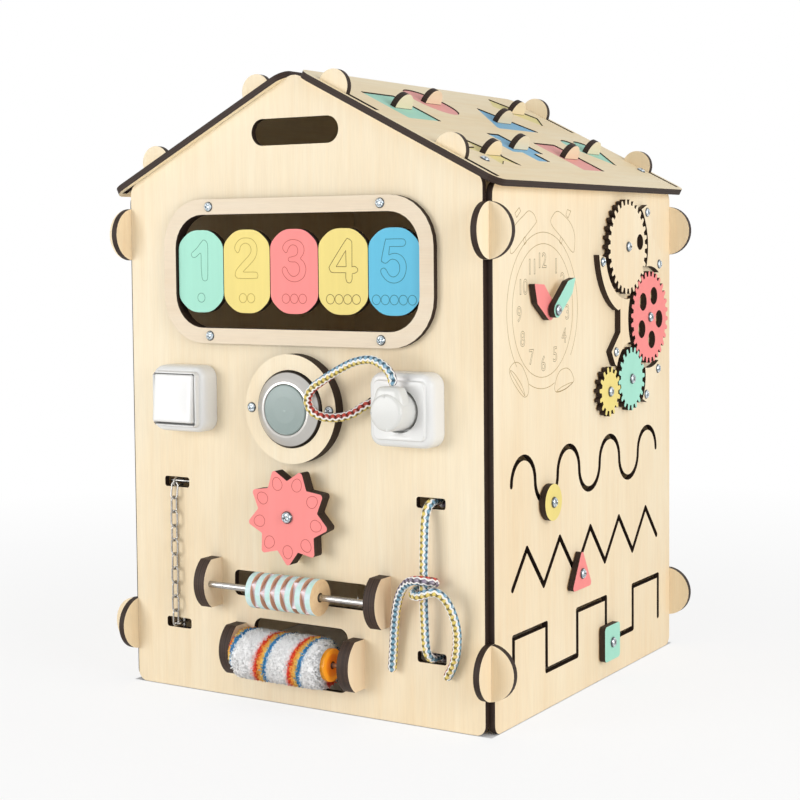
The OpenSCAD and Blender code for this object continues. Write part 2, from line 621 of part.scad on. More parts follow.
// Side vectors carried along the curve without twisting
function carried(t, done) = len(done) == len(t) ? done :
    let (v = done[len(done) - 1], u = t[len(done)]) carried(t, concat(done, [unit(v - (v*u)*u)]));

rope_sides = 8;
module rope(route, parts = 2) {
    p = [for (q = smooth(route, parts)) [q.x, -mid_y - q.y, q.z]];
    t = tangents(p);
    first = unit(cross(t[0], abs(t[0].x) > 0.8 ? [0, 1, 0] : [1, 0, 0]));
    side = carried(t, [first]);
    n = len(p);
    points = [for (i = [0:n - 1], k = [0:rope_sides - 1]) let (a = 360/rope_sides*k)
        p[i] + rope_d/2*(cos(a)*side[i] + sin(a)*cross(t[i], side[i]))];
    walls = [for (i = [0:n - 2], k = [0:rope_sides - 1]) let (m = (k + 1)%rope_sides,
        q = i*rope_sides) [q + k, q + rope_sides + k, q + rope_sides + m, q + m]];
    ends = [[for (k = [0:rope_sides - 1]) k],
        [for (k = [rope_sides - 1:-1:0]) (n - 1)*rope_sides + k]];
    polyhedron(points, concat(walls, ends));
}
// A knot behind the wall keeps a rope end from pulling through
module stopper(x, z) on_front(x, z, -26) rotate_extrude()
    polygon([[0, 0], [5.5, 0], [8.5, 2.5], [8.5, 5.5], [5.5, 8], [0, 8]]);

module main_rope() color(white) {
    rope(main_route, 1);
    for (q = [main_route[0], main_route[len(main_route) - 1]]) stopper(q.x, q.z);
}
module tied_rope() color(white) rope(tied_route, 1);
module plug_rope() color(white) {
    rope(plug_route);
    end = plug_route[len(plug_route) - 1];
    stopper(end.x, end.z);
}

// ---- Clock hands ---------------------------------------------------------------------

// A hand with a round end at the pivot and nearly parallel sides; from the shoulder
// [distance, half width] it comes to a point
module hand(length, hub, shoulder, paint, lift, angle) color(paint)
    on_right(clock_at.x, clock_at.y, lift) rotate(angle) difference() {
        linear_extrude(ply) polygon(rounded([[-hub, -hub, 0.95*hub], [shoulder.x, -shoulder.y, 2],
            [length, 0, 1], [shoulder.x, shoulder.y, 2], [-hub, hub, 0.95*hub]]));
        translate([0, 0, -1]) cylinder(r = 2.5 + fit, h = ply + 2);
    }
hand_lift = [1, ply + 2];
module hour_hand() hand(38.6, 8.5, [23.5, 10.5], coral, hand_lift[0], 142);
module minute_hand() hand(46, 6.5, [32, 7], mint, hand_lift[1], 37.5);

// ---- Gears ---------------------------------------------------------------------------

function pitch_r(i) = gear_m*gear_teeth[i]/2;
function gear_place(i) = i == 0 ? gear_start : gear_place(i - 1)
    + (pitch_r(i - 1) + pitch_r(i))*[cos(gear_turns[i - 1]), sin(gear_turns[i - 1])];
gear_at = [for (i = [0:3]) gear_place(i)];
// The angle of one tooth: each gear shows a gap where the gear before it has a tooth
function tooth_angle(i) = i == 0 ? 0 : gear_turns[i - 1] + 180 + 180/gear_teeth[i]
    - (tooth_angle(i - 1) - gear_turns[i - 1])*gear_teeth[i - 1]/gear_teeth[i];

addendum = 1.7;
dedendum = 3.4;
pressure = 20;
// The involute angle at radius r, in degrees, for a base circle of radius b
function involute(r, b) = r <= b ? 0 : let (a = acos(b/r)) tan(a)*180/PI - a;
function half_tooth(r, rp, n) = let (b = rp*cos(pressure))
    90/n - backlash/rp*90/PI + involute(rp, b) - involute(r, b);
function gear_points(n) = let (rp = gear_m*n/2, radii = [rp - dedendum, rp - 1.4, rp, rp + addendum])
    [for (i = [0:n - 1]) each concat(
        [for (r = radii) let (a = 360/n*i - half_tooth(r, rp, n)) r*[cos(a), sin(a)]],
        [for (j = [3:-1:0]) let (r = radii[j], a = 360/n*i + half_tooth(r, rp, n))
            r*[cos(a), sin(a)]])];

gear_lift = 1;
module gear(i, paint, holes = [], hole_r = 1) color(paint)
    on_right(gear_at[i].x, gear_at[i].y, gear_lift) difference() {
        linear_extrude(ply) rotate(tooth_angle(i)) polygon(gear_points(gear_teeth[i]));
        translate([0, 0, -1]) cylinder(r = 2.5 + fit, h = ply + 2);
        for (p = holes) translate([p.x, p.y, -1]) cylinder(r = hole_r, h = ply + 2);
    }
module plain_gear() gear(0, birch, arc([0, 0], 28.8, 8.6, 8.6, 1), 7.7);
module coral_gear() gear(1, coral, [for (k = [0:4]) 22.9*[cos(72*k - 7), sin(72*k - 7)]], 8.8);
module mint_gear() gear(2, mint);
module yellow_gear() gear(3, yellow);

// The guards are bands that follow the gears' rims
guard_in = 5;                       // gap between the tooth tips and a guard
guard_band = 13.3;
function rim(i) = pitch_r(i) + addendum + guard_in;
function rim_point(i, a, extra = 0) = gear_at[i] + (rim(i) + extra)*[cos(a), sin(a)];
function rim_arc(i, a0, a1, extra = guard_band) = arc(gear_at[i], rim(i) + extra, a0, a1);
guard_screws = [rim_point(0, 194, 7), rim_point(3, 67, 11.2), rim_point(0, 35, 8),
    rim_point(1, 64, 7.5), rim_point(1, -67, 6.8), rim_point(2, -26, 5.6)];
left_guard = concat(rim_arc(0, 186.5, 251), [[250.8, 353], [250.8, 330.6], [230.5, 312.9],
    [237.5, 302.4], [250, 284], [290, 312], [285, 375], [230, 400]]);
upper_guard = concat([[294, 375], gear_at[0] + [30, 30]], [rim_point(0, 46)],
    [rim_point(0, 40, guard_band)], rim_arc(0, 32, 8), [[350, 407], [356, 396]],
    [rim_point(1, 57, 9), rim_point(1, 60)], [[322, 372]]);
lower_guard = concat([[300, 302], [322, 310]], [rim_point(1, -60, 2)],
    [rim_point(1, -58, 12)], [[338, 281], [326, 263]], [rim_point(2, -34, 11), rim_point(2, -38)],
    [[290, 284]]);
module gear_guards() color(birch) on_right(0, 0) for (outline = [left_guard, upper_guard, lower_guard])
    difference() {
        linear_extrude(ply) polygon(outline);
        for (i = [0:3]) translate([gear_at[i].x, gear_at[i].y, -1])
            cylinder(r = rim(i), h = ply + 2, $fn = 96);
        for (p = guard_screws) translate([p.x, p.y, -1]) cylinder(r = 1.6, h = ply + 2);
    }

// ---- Sliding knobs -------------------------------------------------------------------

knob_lift = 1;
disc_at = [wave_start + 2*wave_r, wave_z - wave_r];
triangle_at = [zig_y[4], zig_z[4]];
square_at = step_points[7];
module knob(at, paint) color(paint) on_right(at.x, at.y, knob_lift) difference() {
    linear_extrude(ply) children();
    translate([0, 0, -1]) cylinder(r = 2.5, h = ply + 2);
}
module disc_knob() knob(disc_at, yellow) circle(r = 16.5);
module triangle_knob() knob(triangle_at, coral)
    polygon(rounded([[-21, -14, 3], [21, -14, 3], [0, 23, 3]]));
module square_knob() knob(square_at, mint) round_box(34, 34, 4);
// A bolt through the knob and the slot, with a washer on each side of the wall
module slider_bolt(at) color(zinc) on_right(at.x, at.y, knob_lift + ply) {
    bolt(2*ply + 2*knob_lift);
    translate([0, 0, -ply - 0.9]) washer(7, 0.8);
}
module disc_bolt() slider_bolt(disc_at);
module triangle_bolt() slider_bolt(triangle_at);
module square_bolt() slider_bolt(square_at);

// ---- Screws and fixed bolts ----------------------------------------------------------

roof_screws = [[38, 42], [374, 44]];
module wood_screws() color(zinc) {
    for (p = frame_screws) on_front(p.x, p.y, ply) wood_screw();
    for (x = lamp_screws) on_front(lamp_at.x + x, lamp_at.y, 2*ply) wood_screw(17);
    for (p = guard_screws) on_right(p.x, p.y, ply) wood_screw();
    for (p = roof_screws) on_roof(p.x, p.y) wood_screw(8.5);
    for (x = [-1, 1], b = [[spool_z, spool_bracket_x], [roller_z, roller_bracket_x]], z = [-14, 14])
        translate([bracket_mid_x + x*(b[1] + ply/2), -mid_y + ply, b[0] + z])
            rotate([-90, 0, 0]) wood_screw(15, 3.8);
}
module pivot_bolts() color(zinc) {
    for (p = gear_at) on_right(p.x, p.y, gear_lift + ply + 0.1) {
        bolt(gear_lift + 2*ply + 0.1);
        translate([0, 0, -ply - gear_lift - 0.1]) washer(7, gear_lift - 0.1);
    }
    on_right(clock_at.x, clock_at.y, hand_lift[1] + ply + 0.1) {
        bolt(hand_lift[1] + 2*ply + 0.1);
        for (l = hand_lift) translate([0, 0, -hand_lift[1] - ply - 0.1 + (l == 1 ? 0 : l - 0.9)])
            washer(6, 0.8);
    }
    on_front(star_at.x, star_at.y, 3*ply + 0.1) bolt(4*ply + 0.1, 5.5);
}

// ---- Drawing -------------------------------------------------------------------------
front_panel();
back_panel();
left_panel();
right_panel();
roof_right();
roof_left();
roof_backing();
window_frame();
number_rod();
number_plate(1);  // number_plate_1
number_plate(2);  // number_plate_2
number_plate(3);  // number_plate_3
number_plate(4);  // number_plate_4
number_plate(5);  // number_plate_5
switch_box();
switch_rocker();
lamp_ring();
lamp_housing();
lamp_button();
socket_box();
plug();
plug_rope();
star_wheel();
star_spacer();
chain();
chain_pins();
spool_brackets();
spool_rod();
spool();
roller_brackets();
roller_rod();
roller_core();
roller_nap();
roller_caps();
main_rope();
tied_rope();
hour_hand();
minute_hand();
gear_guards();
plain_gear();
coral_gear();
mint_gear();
yellow_gear();
disc_knob();
disc_bolt();
triangle_knob();
triangle_bolt();
square_knob();
square_bolt();
wood_screws();
pivot_bolts();
tile(0, mint);  // tile_square
tile(1, coral);  // tile_circle
tile(2, yellow);  // tile_oblong
tile(3, blue);  // tile_triangle
tile(4, yellow);  // tile_star
tile(5, blue);  // tile_cross
tile(6, coral);  // tile_block
tile(7, mint);  // tile_heart
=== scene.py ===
"""Busy-board house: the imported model's wood, plastic and steel get their finishes here, and
ropes, pile, engraving, screws and moulded plastic are made as surfaces of their own."""

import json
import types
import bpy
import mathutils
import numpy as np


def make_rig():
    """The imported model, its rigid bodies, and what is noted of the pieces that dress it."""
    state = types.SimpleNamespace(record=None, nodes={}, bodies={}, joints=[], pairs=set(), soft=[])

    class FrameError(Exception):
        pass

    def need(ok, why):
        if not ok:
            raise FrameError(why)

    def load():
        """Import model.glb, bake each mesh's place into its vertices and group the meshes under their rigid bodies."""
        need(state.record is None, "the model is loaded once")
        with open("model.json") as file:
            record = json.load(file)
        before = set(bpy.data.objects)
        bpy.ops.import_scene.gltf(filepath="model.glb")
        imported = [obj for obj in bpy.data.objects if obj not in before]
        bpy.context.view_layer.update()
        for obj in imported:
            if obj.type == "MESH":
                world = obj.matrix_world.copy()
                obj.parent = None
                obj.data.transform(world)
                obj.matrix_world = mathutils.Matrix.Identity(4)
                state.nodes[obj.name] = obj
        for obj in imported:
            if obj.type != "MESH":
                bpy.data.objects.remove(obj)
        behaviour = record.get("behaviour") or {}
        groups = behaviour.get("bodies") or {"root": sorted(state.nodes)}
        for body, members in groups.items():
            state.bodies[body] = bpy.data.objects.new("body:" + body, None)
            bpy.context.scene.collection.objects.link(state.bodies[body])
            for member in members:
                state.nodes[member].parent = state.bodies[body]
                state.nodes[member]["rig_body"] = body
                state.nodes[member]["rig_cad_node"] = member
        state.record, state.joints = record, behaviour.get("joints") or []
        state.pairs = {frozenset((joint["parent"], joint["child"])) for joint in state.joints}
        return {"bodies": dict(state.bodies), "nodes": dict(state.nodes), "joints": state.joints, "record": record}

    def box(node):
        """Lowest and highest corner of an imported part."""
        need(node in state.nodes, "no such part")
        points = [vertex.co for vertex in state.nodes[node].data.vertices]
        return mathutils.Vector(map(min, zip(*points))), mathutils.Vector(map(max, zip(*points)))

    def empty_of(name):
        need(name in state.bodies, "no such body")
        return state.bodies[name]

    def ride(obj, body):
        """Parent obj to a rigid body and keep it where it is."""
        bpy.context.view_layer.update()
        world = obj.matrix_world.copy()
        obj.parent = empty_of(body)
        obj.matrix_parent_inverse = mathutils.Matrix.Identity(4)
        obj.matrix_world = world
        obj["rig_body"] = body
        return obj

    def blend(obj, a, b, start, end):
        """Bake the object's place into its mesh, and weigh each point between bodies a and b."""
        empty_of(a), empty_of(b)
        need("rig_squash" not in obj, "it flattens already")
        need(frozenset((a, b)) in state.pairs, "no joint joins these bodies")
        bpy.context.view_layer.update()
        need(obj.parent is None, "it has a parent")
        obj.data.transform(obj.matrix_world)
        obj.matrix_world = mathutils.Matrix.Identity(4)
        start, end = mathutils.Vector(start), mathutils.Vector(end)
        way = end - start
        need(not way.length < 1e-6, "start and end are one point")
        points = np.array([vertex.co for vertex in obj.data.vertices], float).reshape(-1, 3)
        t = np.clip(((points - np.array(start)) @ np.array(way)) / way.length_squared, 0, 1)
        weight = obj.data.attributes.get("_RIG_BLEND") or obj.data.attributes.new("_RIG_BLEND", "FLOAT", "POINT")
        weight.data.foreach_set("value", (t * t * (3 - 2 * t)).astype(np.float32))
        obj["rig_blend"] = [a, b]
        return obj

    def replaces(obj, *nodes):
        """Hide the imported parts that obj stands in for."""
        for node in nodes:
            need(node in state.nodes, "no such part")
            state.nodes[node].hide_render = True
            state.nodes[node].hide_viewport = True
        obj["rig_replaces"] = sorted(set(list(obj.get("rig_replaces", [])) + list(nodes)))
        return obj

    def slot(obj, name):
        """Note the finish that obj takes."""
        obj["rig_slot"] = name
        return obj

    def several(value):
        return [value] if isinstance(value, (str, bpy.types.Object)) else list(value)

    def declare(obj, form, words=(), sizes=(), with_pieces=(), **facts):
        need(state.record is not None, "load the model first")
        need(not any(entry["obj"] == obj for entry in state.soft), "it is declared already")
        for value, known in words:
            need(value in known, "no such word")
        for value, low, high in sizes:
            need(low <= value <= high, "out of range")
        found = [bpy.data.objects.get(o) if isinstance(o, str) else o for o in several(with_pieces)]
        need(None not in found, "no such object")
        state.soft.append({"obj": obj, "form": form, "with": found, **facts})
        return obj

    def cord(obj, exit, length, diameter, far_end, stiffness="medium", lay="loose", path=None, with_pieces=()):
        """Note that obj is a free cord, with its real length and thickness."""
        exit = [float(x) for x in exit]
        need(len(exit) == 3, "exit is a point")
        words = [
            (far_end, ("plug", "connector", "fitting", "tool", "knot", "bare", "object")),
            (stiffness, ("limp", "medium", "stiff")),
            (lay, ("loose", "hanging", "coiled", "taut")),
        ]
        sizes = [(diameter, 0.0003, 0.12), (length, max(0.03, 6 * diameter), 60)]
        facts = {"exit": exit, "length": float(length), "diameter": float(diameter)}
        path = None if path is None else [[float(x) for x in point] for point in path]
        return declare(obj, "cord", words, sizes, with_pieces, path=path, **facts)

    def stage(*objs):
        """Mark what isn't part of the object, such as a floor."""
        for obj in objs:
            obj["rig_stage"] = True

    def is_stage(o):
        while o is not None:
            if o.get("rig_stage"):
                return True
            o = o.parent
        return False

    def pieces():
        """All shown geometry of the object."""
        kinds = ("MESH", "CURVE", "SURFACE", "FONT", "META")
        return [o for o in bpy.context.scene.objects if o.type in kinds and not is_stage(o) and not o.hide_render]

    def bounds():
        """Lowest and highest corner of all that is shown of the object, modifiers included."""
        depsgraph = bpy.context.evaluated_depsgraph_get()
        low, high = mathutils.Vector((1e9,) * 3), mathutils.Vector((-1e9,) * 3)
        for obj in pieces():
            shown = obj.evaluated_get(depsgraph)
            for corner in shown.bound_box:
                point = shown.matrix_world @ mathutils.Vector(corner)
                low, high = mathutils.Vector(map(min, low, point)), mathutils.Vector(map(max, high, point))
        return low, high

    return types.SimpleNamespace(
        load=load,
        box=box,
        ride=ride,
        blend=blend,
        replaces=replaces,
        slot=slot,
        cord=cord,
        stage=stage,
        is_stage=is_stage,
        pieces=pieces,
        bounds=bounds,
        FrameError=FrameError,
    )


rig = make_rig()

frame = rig.load()
import json
import math
import bmesh
import bpy
import numpy as np
from mathutils import Matrix, Vector

cad_box = [list(c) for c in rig.bounds()]

# ---- Studio --------------------------------------------------------------
# A pale floor that melts into a white backdrop, two large soft lamps and an even sky.
# The camera stands to the right of the house, a little above the window's height.
yaw, pitch, roll = (math.radians(a) for a in (31.648, 3.325, -0.502))
forward = Vector((-math.sin(yaw)*math.cos(pitch), math.cos(yaw)*math.cos(pitch), -math.sin(pitch)))
right = Vector((math.cos(yaw), math.sin(yaw), 0))
up = right.cross(forward)
camera_place = (0.8630, -1.41035, 0.4181)
camera = bpy.data.objects.new("camera", bpy.data.cameras.new("camera"))
bpy.context.scene.collection.objects.link(camera)
camera.matrix_world = Matrix.Translation(camera_place) @ Matrix((
    math.cos(roll)*right + math.sin(roll)*up,
    math.cos(roll)*up - math.sin(roll)*right, -forward)).transposed().to_4x4()
camera.data.lens, camera.data.shift_y = 75.4, -0.075
bpy.context.scene.camera = camera
bpy.context.scene.view_settings.view_transform = "Standard"


def lamp(name, place, target, power):
    """A square soft lamp, 1.6 m wide, at place and turned to target."""
    light = bpy.data.lights.new(name, "AREA")
    light.size, light.energy = 1.6, power
    thing = bpy.data.objects.new(name, light)
    bpy.context.scene.collection.objects.link(thing)
    thing.location = place
    thing.rotation_euler = (Vector(target) - Vector(place)).to_track_quat("-Z", "Y").to_euler()


lamp("key", (-1.5, -2.6, 0.6), (0, 0, 0.1), 44)
lamp("side", (2.8, -0.7, 1.0), (0.1, 0, 0.2), 41)


def put(socket, value):
    """Links or sets a socket: value is a node's output, a constant or None to leave it."""
    if isinstance(value, bpy.types.NodeSocket):
        socket.id_data.links.new(value, socket)
    elif value is not None:
        socket.default_value = value


def maker(tree):
    """add(kind, inputs in order, out=index, **settings) makes a node and gives its output.
    A kind in capitals is a Math node's operation."""
    def add(kind, *inputs, out=0, **settings):
        if kind.isupper():
            kind, settings = "Math", {"operation": kind}
        node = tree.nodes.new("ShaderNode" + kind)
        for key, value in settings.items():
            setattr(node, key, value)
        for socket, value in zip(node.inputs, inputs):
            put(socket, value)
        return node.outputs[out]
    return add


def shading(name, roughness, specular=0.5, metallic=0.0):
    """A new material with its Principled shader and its node maker."""
    material = bpy.data.materials.new(name)
    material.use_nodes = True
    shader = material.node_tree.nodes["Principled BSDF"]
    shader.inputs["Roughness"].default_value = roughness
    shader.inputs["Specular IOR Level"].default_value = specular
    shader.inputs["Metallic"].default_value = metallic
    return material, shader, maker(material.node_tree)


def camera_looks(add):
    """1 where the camera, gloss or glass looks, and 0 for light that only bounces."""
    path = add("LightPath")
    seen = add("MAXIMUM", path, path.node.outputs[3])
    return add("MAXIMUM", seen, path.node.outputs[6])


front_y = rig.box("front_panel")[0].y            # the front wall's face
right_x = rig.box("right_panel")[1].x            # the right wall's face
floor = bpy.data.objects.new("floor", bpy.data.meshes.new("floor"))
floor.data.from_pydata([(x, y, -0.0005) for x, y in ((-9, -9), (9, -9), (9, 9), (-9, 9))], [],
                       [(0, 1, 2, 3)])
bpy.context.scene.collection.objects.link(floor)
paper, shader, add = shading("floor_paper", 0.9)
shader.inputs["Base Color"].default_value = (0.95, 0.95, 0.95, 1)
# Far from the house the paper is plain white, and inside the walls it is left to the light
middle = add("Mapping", add("TexCoord", out=3), (0, -front_y - right_x, 0))
far = add("MapRange", add("VectorMath", middle, operation="LENGTH", out=1), 0.4, 1.3, 0.80, 1.0)
sides = add("SeparateXYZ", add("VectorMath", middle, operation="ABSOLUTE"))
outside = add("GREATER_THAN", add("MAXIMUM", sides, sides.node.outputs[1]), right_x)
share = add("MULTIPLY", add("MULTIPLY", camera_looks(add), far), outside)
put(paper.node_tree.nodes["Material Output"].inputs[0],
    add("MixShader", share, shader.outputs[0], add("Emission", (1, 1, 1, 1), 1.0)))
floor.data.materials.append(paper)
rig.stage(floor)

sky = bpy.data.worlds.new("sky")
bpy.context.scene.world = sky
sky.use_nodes = True
add = maker(sky.node_tree)
backdrop = sky.node_tree.nodes["Background"]
backdrop.inputs[0].default_value = (1, 1, 1, 1)
put(backdrop.inputs[1], add("MapRange", camera_looks(add), 0.0, 1.0, 0.50, 1.0))


# ---- Ropes and plug ------------------------------------------------------
# Knitted cord, 8 mm thick: four columns of coloured beads run along it, with a narrow white
# column after each. One rope ends in the moulded white plug that fits the socket.
def linear(*rgb):
    """A colour given in 8-bit display values, as linear RGBA."""
    c = np.array(rgb)/255
    return tuple(np.where(c <= 0.04045, c/12.92, ((c + 0.055)/1.055)**2.4)) + (1.0,)


def blend_of(add, factor, first, second, **settings):
    """A colour between first and second."""
    return add("Mix", factor, None, None, None, None, None, first, second, out=2,
               data_type="RGBA", **settings)


def ramp_of(add, where, stops, interpolation="LINEAR"):
    """A colour ramp whose stops are (place, colour in 8-bit values)."""
    ramp = add("ValToRGB", where)
    bands = ramp.node.color_ramp
    bands.interpolation = interpolation
    bands.elements.remove(bands.elements[1])
    for k, (at, rgb) in enumerate(stops):
        stop = bands.elements[0] if k == 0 else bands.elements.new(at)
        stop.position, stop.color = at, linear(*rgb)
    return ramp


def mesh_piece(name, points, faces, material, body, slot, uv=None, smooth=True):
    """A mesh object from points, blocks of faces and a UV for each point, which rides a body.
    Its shells are closed, and their faces are turned outwards. U runs round from 0 to 1, and
    a face across its end counts on past 1. smooth is given for all faces or for each."""
    mesh = bpy.data.meshes.new(name)
    mesh.from_pydata(points.tolist(), [], [tuple(f) for block in faces for f in block.tolist()])
    shells = bmesh.new()
    shells.from_mesh(mesh)
    bmesh.ops.recalc_face_normals(shells, faces=shells.faces)
    shells.to_mesh(mesh)
    shells.free()
    if uv is not None:
        layer = mesh.uv_layers.new(name="UVMap")
        corner = np.empty(len(mesh.loops), np.int32)
        mesh.loops.foreach_get("vertex_index", corner)
        place = np.asarray(uv, np.float32).reshape(-1, 2)[corner]
        start = np.empty(len(mesh.polygons), np.int32)
        mesh.polygons.foreach_get("loop_start", start)
        largest = np.repeat(np.maximum.reduceat(place[:, 0], start),
                            np.diff(np.r_[start, len(place)]))
        place[:, 0] += largest - place[:, 0] > 0.5
        layer.data.foreach_set("uv", place.ravel())
    mesh.polygons.foreach_set("use_smooth", np.zeros(len(mesh.polygons), bool) | smooth)
    mesh.materials.append(material)
    piece = bpy.data.objects.new(name, mesh)
    bpy.context.scene.collection.objects.link(piece)
    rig.ride(piece, body)
    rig.slot(piece, slot)
    return piece


def stacked(*parts):
    """Arrays spread to one shape and laid side by side as a last axis."""
    return np.stack(np.broadcast_arrays(*parts), -1)


def quads(rows, columns, wrap_rows=False, wrap_columns=False):
    """Faces of a rows by columns grid of points, joined round in either direction if asked."""
    r, c = np.meshgrid(np.arange(rows - (not wrap_rows)), np.arange(columns - (not wrap_columns)),
                       indexing="ij")
    r1, c1 = (r + 1) % rows, (c + 1) % columns
    return stacked(r*columns + c, r*columns + c1, r1*columns + c1, r1*columns + c).reshape(-1, 4)


def closed_tube(grid, start, end):
    """Points and faces of a rows by columns grid that is joined round into a tube, with a fan
    of triangles from each end ring to a point of its own."""
    rows, columns = grid.shape[:2]
    ring, last = np.arange(columns), (rows - 1)*columns
    after = (ring + 1) % columns
    first = np.full(columns, rows*columns)
    fans = stacked(np.r_[first, first + 1], np.r_[after, last + ring], np.r_[ring, last + after])
    return (np.vstack([grid.reshape(-1, 3), start, end]),
            [quads(rows, columns, wrap_columns=True), fans])


def unit(vectors):
    """The vectors, each brought to length 1."""
    return vectors/np.linalg.norm(vectors, axis=-1, keepdims=True)


def along(route, step, closed=False):
    """Points a step apart on the Catmull-Rom curve through a route:
    p(t) = (2b + (c-a)t + (2a-5b+4c-d)t^2 + (3b-a-3c+d)t^3)/2 between b and c."""
    p = np.array(route, float)
    if closed:
        a, b, c, d = (np.roll(p, k, axis=0) for k in (1, 0, -1, -2))
        p = p[[0]]
    else:
        a, b, c, d = p[np.r_[0, 0:len(p) - 2]], p[:-1], p[1:], p[np.r_[2:len(p), len(p) - 1]]
    t = np.linspace(0, 1, 40, endpoint=False)[:, None, None]
    fine = ((2*b) + (c - a)*t + (2*a - 5*b + 4*c - d)*t**2 + (3*b - a - 3*c + d)*t**3)/2
    fine = np.vstack([fine.transpose(1, 0, 2).reshape(-1, p.shape[1]), p[-1:]])
    run = np.r_[0, np.cumsum(np.linalg.norm(np.diff(fine, axis=0), axis=1))]
    even = np.linspace(0, run[-1], max(4, int(round(run[-1]/step)) + 1))
    line = np.stack([np.interp(even, run, fine[:, k]) for k in range(p.shape[1])], 1)
    return (line[:-1], even[:-1]) if closed else (line, even)


def carried_sides(line):
    """Two side vectors carried along a line without twisting: at each step the last one is
    laid back at right angles to the line's tangent."""
    t = unit(np.gradient(line, axis=0))
    side = np.empty_like(t)
    side[0] = unit(np.cross(t[0], (1, 0, 0) if abs(t[0, 0]) < 0.8 else (0, 1, 0)))
    for i in range(1, len(t)):
        side[i] = unit(side[i - 1] - side[i - 1].dot(t[i])*t[i])
    return side, np.cross(t, side)


# A bead's length, how far the columns sway, and the beads' share of each pair of columns
rope_radius, stitch_pitch, zigzag, bead_share = 0.0040, 0.0052, 0.15, 0.66


def rope(name, route, turn=0.0, twist=0.0):
    """A knitted rope along [x, out, height] points in millimetres: four columns of coloured
    beads with a narrow white column after each. q counts the pairs of columns round the rope,
    f is its fraction, v the length in stitches and p its fraction, half a stitch on in every
    other pair: r = R(0.8 + 0.2 sin(pi f/share)^0.6 (0.45 + 0.55 sin(pi p)^0.5)). The rope
    starts turned by turn, and its middle third twists by twist."""
    line, length = along([(x/1000, front_y - out/1000, z/1000) for x, out, z in route], 0.00045)
    first, second = carried_sides(line)
    sides = 64
    twisted = twist*np.clip(length[:, None]/length[-1]/0.35 - 0.85, 0, 1)
    angle = np.arange(sides)/sides*2*np.pi + turn + twisted
    v = length[:, None]/stitch_pitch
    q = np.arange(sides)/sides*4 + zigzag*(2*np.abs(2*(v % 1) - 1) - 1)
    f, bead = q % 1, (v + 0.5*(np.floor(q) % 2)) % 1
    coloured = np.sin(np.pi*np.clip(f/bead_share, 0.001, 0.999))**0.6*(
        0.45 + 0.55*np.sin(np.pi*bead)**0.5)
    white = 0.8*np.sin(np.pi*np.clip((f - bead_share)/(1 - bead_share), 0.001, 0.999))**0.6
    end = np.clip(np.minimum(length, length[-1] - length)/0.003, 0, 1)[:, None]
    radius = rope_radius*(0.80 + 0.20*np.where(f < bead_share, coloured, white))*np.sqrt(
        0.25 + 0.75*end)
    points = line[:, None] + radius[..., None]*(
        np.cos(angle)[..., None]*first[:, None] + np.sin(angle)[..., None]*second[:, None])
    uv = stacked(np.arange(sides)/sides, v).reshape(-1, 2)
    piece = mesh_piece(name, *closed_tube(points, line[0], line[-1]), cord_yarn, "house",
                       "braided_rope", np.vstack([uv, [0, 0], [0, v[-1, 0]]]))
    return piece, line, length[-1]


# The yarn: the pair of columns picks the colour, and the gaps between the coloured beads are darkened as painted shade
cord_yarn, shader, add = shading("cord_yarn", 0.85, 0.3)
place = add("UVMap")
split = add("SeparateXYZ", place)
v = split.node.outputs[1]
wave = add("MULTIPLY_ADD", add("MODULO", v, 1.0), 2.0, -1.0)
sway = add("MULTIPLY_ADD", add("ABSOLUTE", wave), 2*zigzag, -zigzag)
pair = add("ADD", add("MULTIPLY_ADD", split, 4.0, 4.0), sway)
pair = add("MODULO", pair, 4.0)
yarns = [(134, 176, 200), (232, 208, 116), (206, 84, 70), (150, 138, 158)]
ramp = ramp_of(add, add("MULTIPLY", pair, 0.25), [
    stop for k, rgb in enumerate(yarns)
    for stop in ((k/4, rgb), ((k + bead_share)/4, (250, 248, 244)))], "CONSTANT")
fraction = add("MODULO", pair, 1.0)
bead = add("MULTIPLY_ADD", add("FLOOR", pair), 0.5, v)
bead = add("MULTIPLY", add("MODULO", bead, 1.0), math.pi)
# Painted shade: the coloured columns go dark in the gaps between their beads
bead_gap_shade = add("MapRange", add("SINE", bead), 0.25, 0.95, 0.2, 1.0)
white_yarn = add("GREATER_THAN", fraction, bead_share)
shade = add("MAXIMUM", bead_gap_shade, white_yarn)
flecks = add("TexNoise", add("Mapping", place, None, None, (14, 1.7, 1)), None, 1.0, 2.0)
whiter = add("MapRange", flecks, 0.56, 0.66, 0.0, 0.45)
colour = blend_of(add, whiter, ramp, linear(246, 243, 236))
colour = blend_of(add, 1.0, colour, shade, blend_type="MULTIPLY")
put(shader.inputs["Base Color"], colour)
threads = add("TexWave", add("Mapping", place, None, None, (60, 9, 1)), 1.0, 1.5, 2.0,
              bands_direction="DIAGONAL")
put(shader.inputs["Normal"], add("Bump", 0.3, 0.0003, None, threads))


def stopper_knot(name, x, z):
    """An overhand knot behind the wall, a flattened ball of rope: r = R(1 - 0.1|sin(3a + 2h)|)
    at the angle a round it and h from its pole, which is half its thickness from its middle."""
    radius, half, middle = 0.0085, 0.004, np.array([x/1000, front_y + 0.022, z/1000])
    h, a = np.meshgrid(np.linspace(0.02, np.pi - 0.02, 25), np.arange(48)/48*2*np.pi,
                       indexing="ij")
    r = 1 - 0.1*np.abs(np.sin(3*a + 2*h))
    ball = closed_tube(middle + stacked(radius*r*np.sin(h)*np.cos(a), -half*np.cos(h),
                                        radius*r*np.sin(h)*np.sin(a)),
                       middle - (0, half, 0), middle + (0, half, 0))
    uv = np.vstack([stacked(a/(2*np.pi), h*1.2).reshape(-1, 2), [0, 0], [0, 1]])
    return mesh_piece(name, *ball, cord_yarn, "house", "braided_rope", uv)


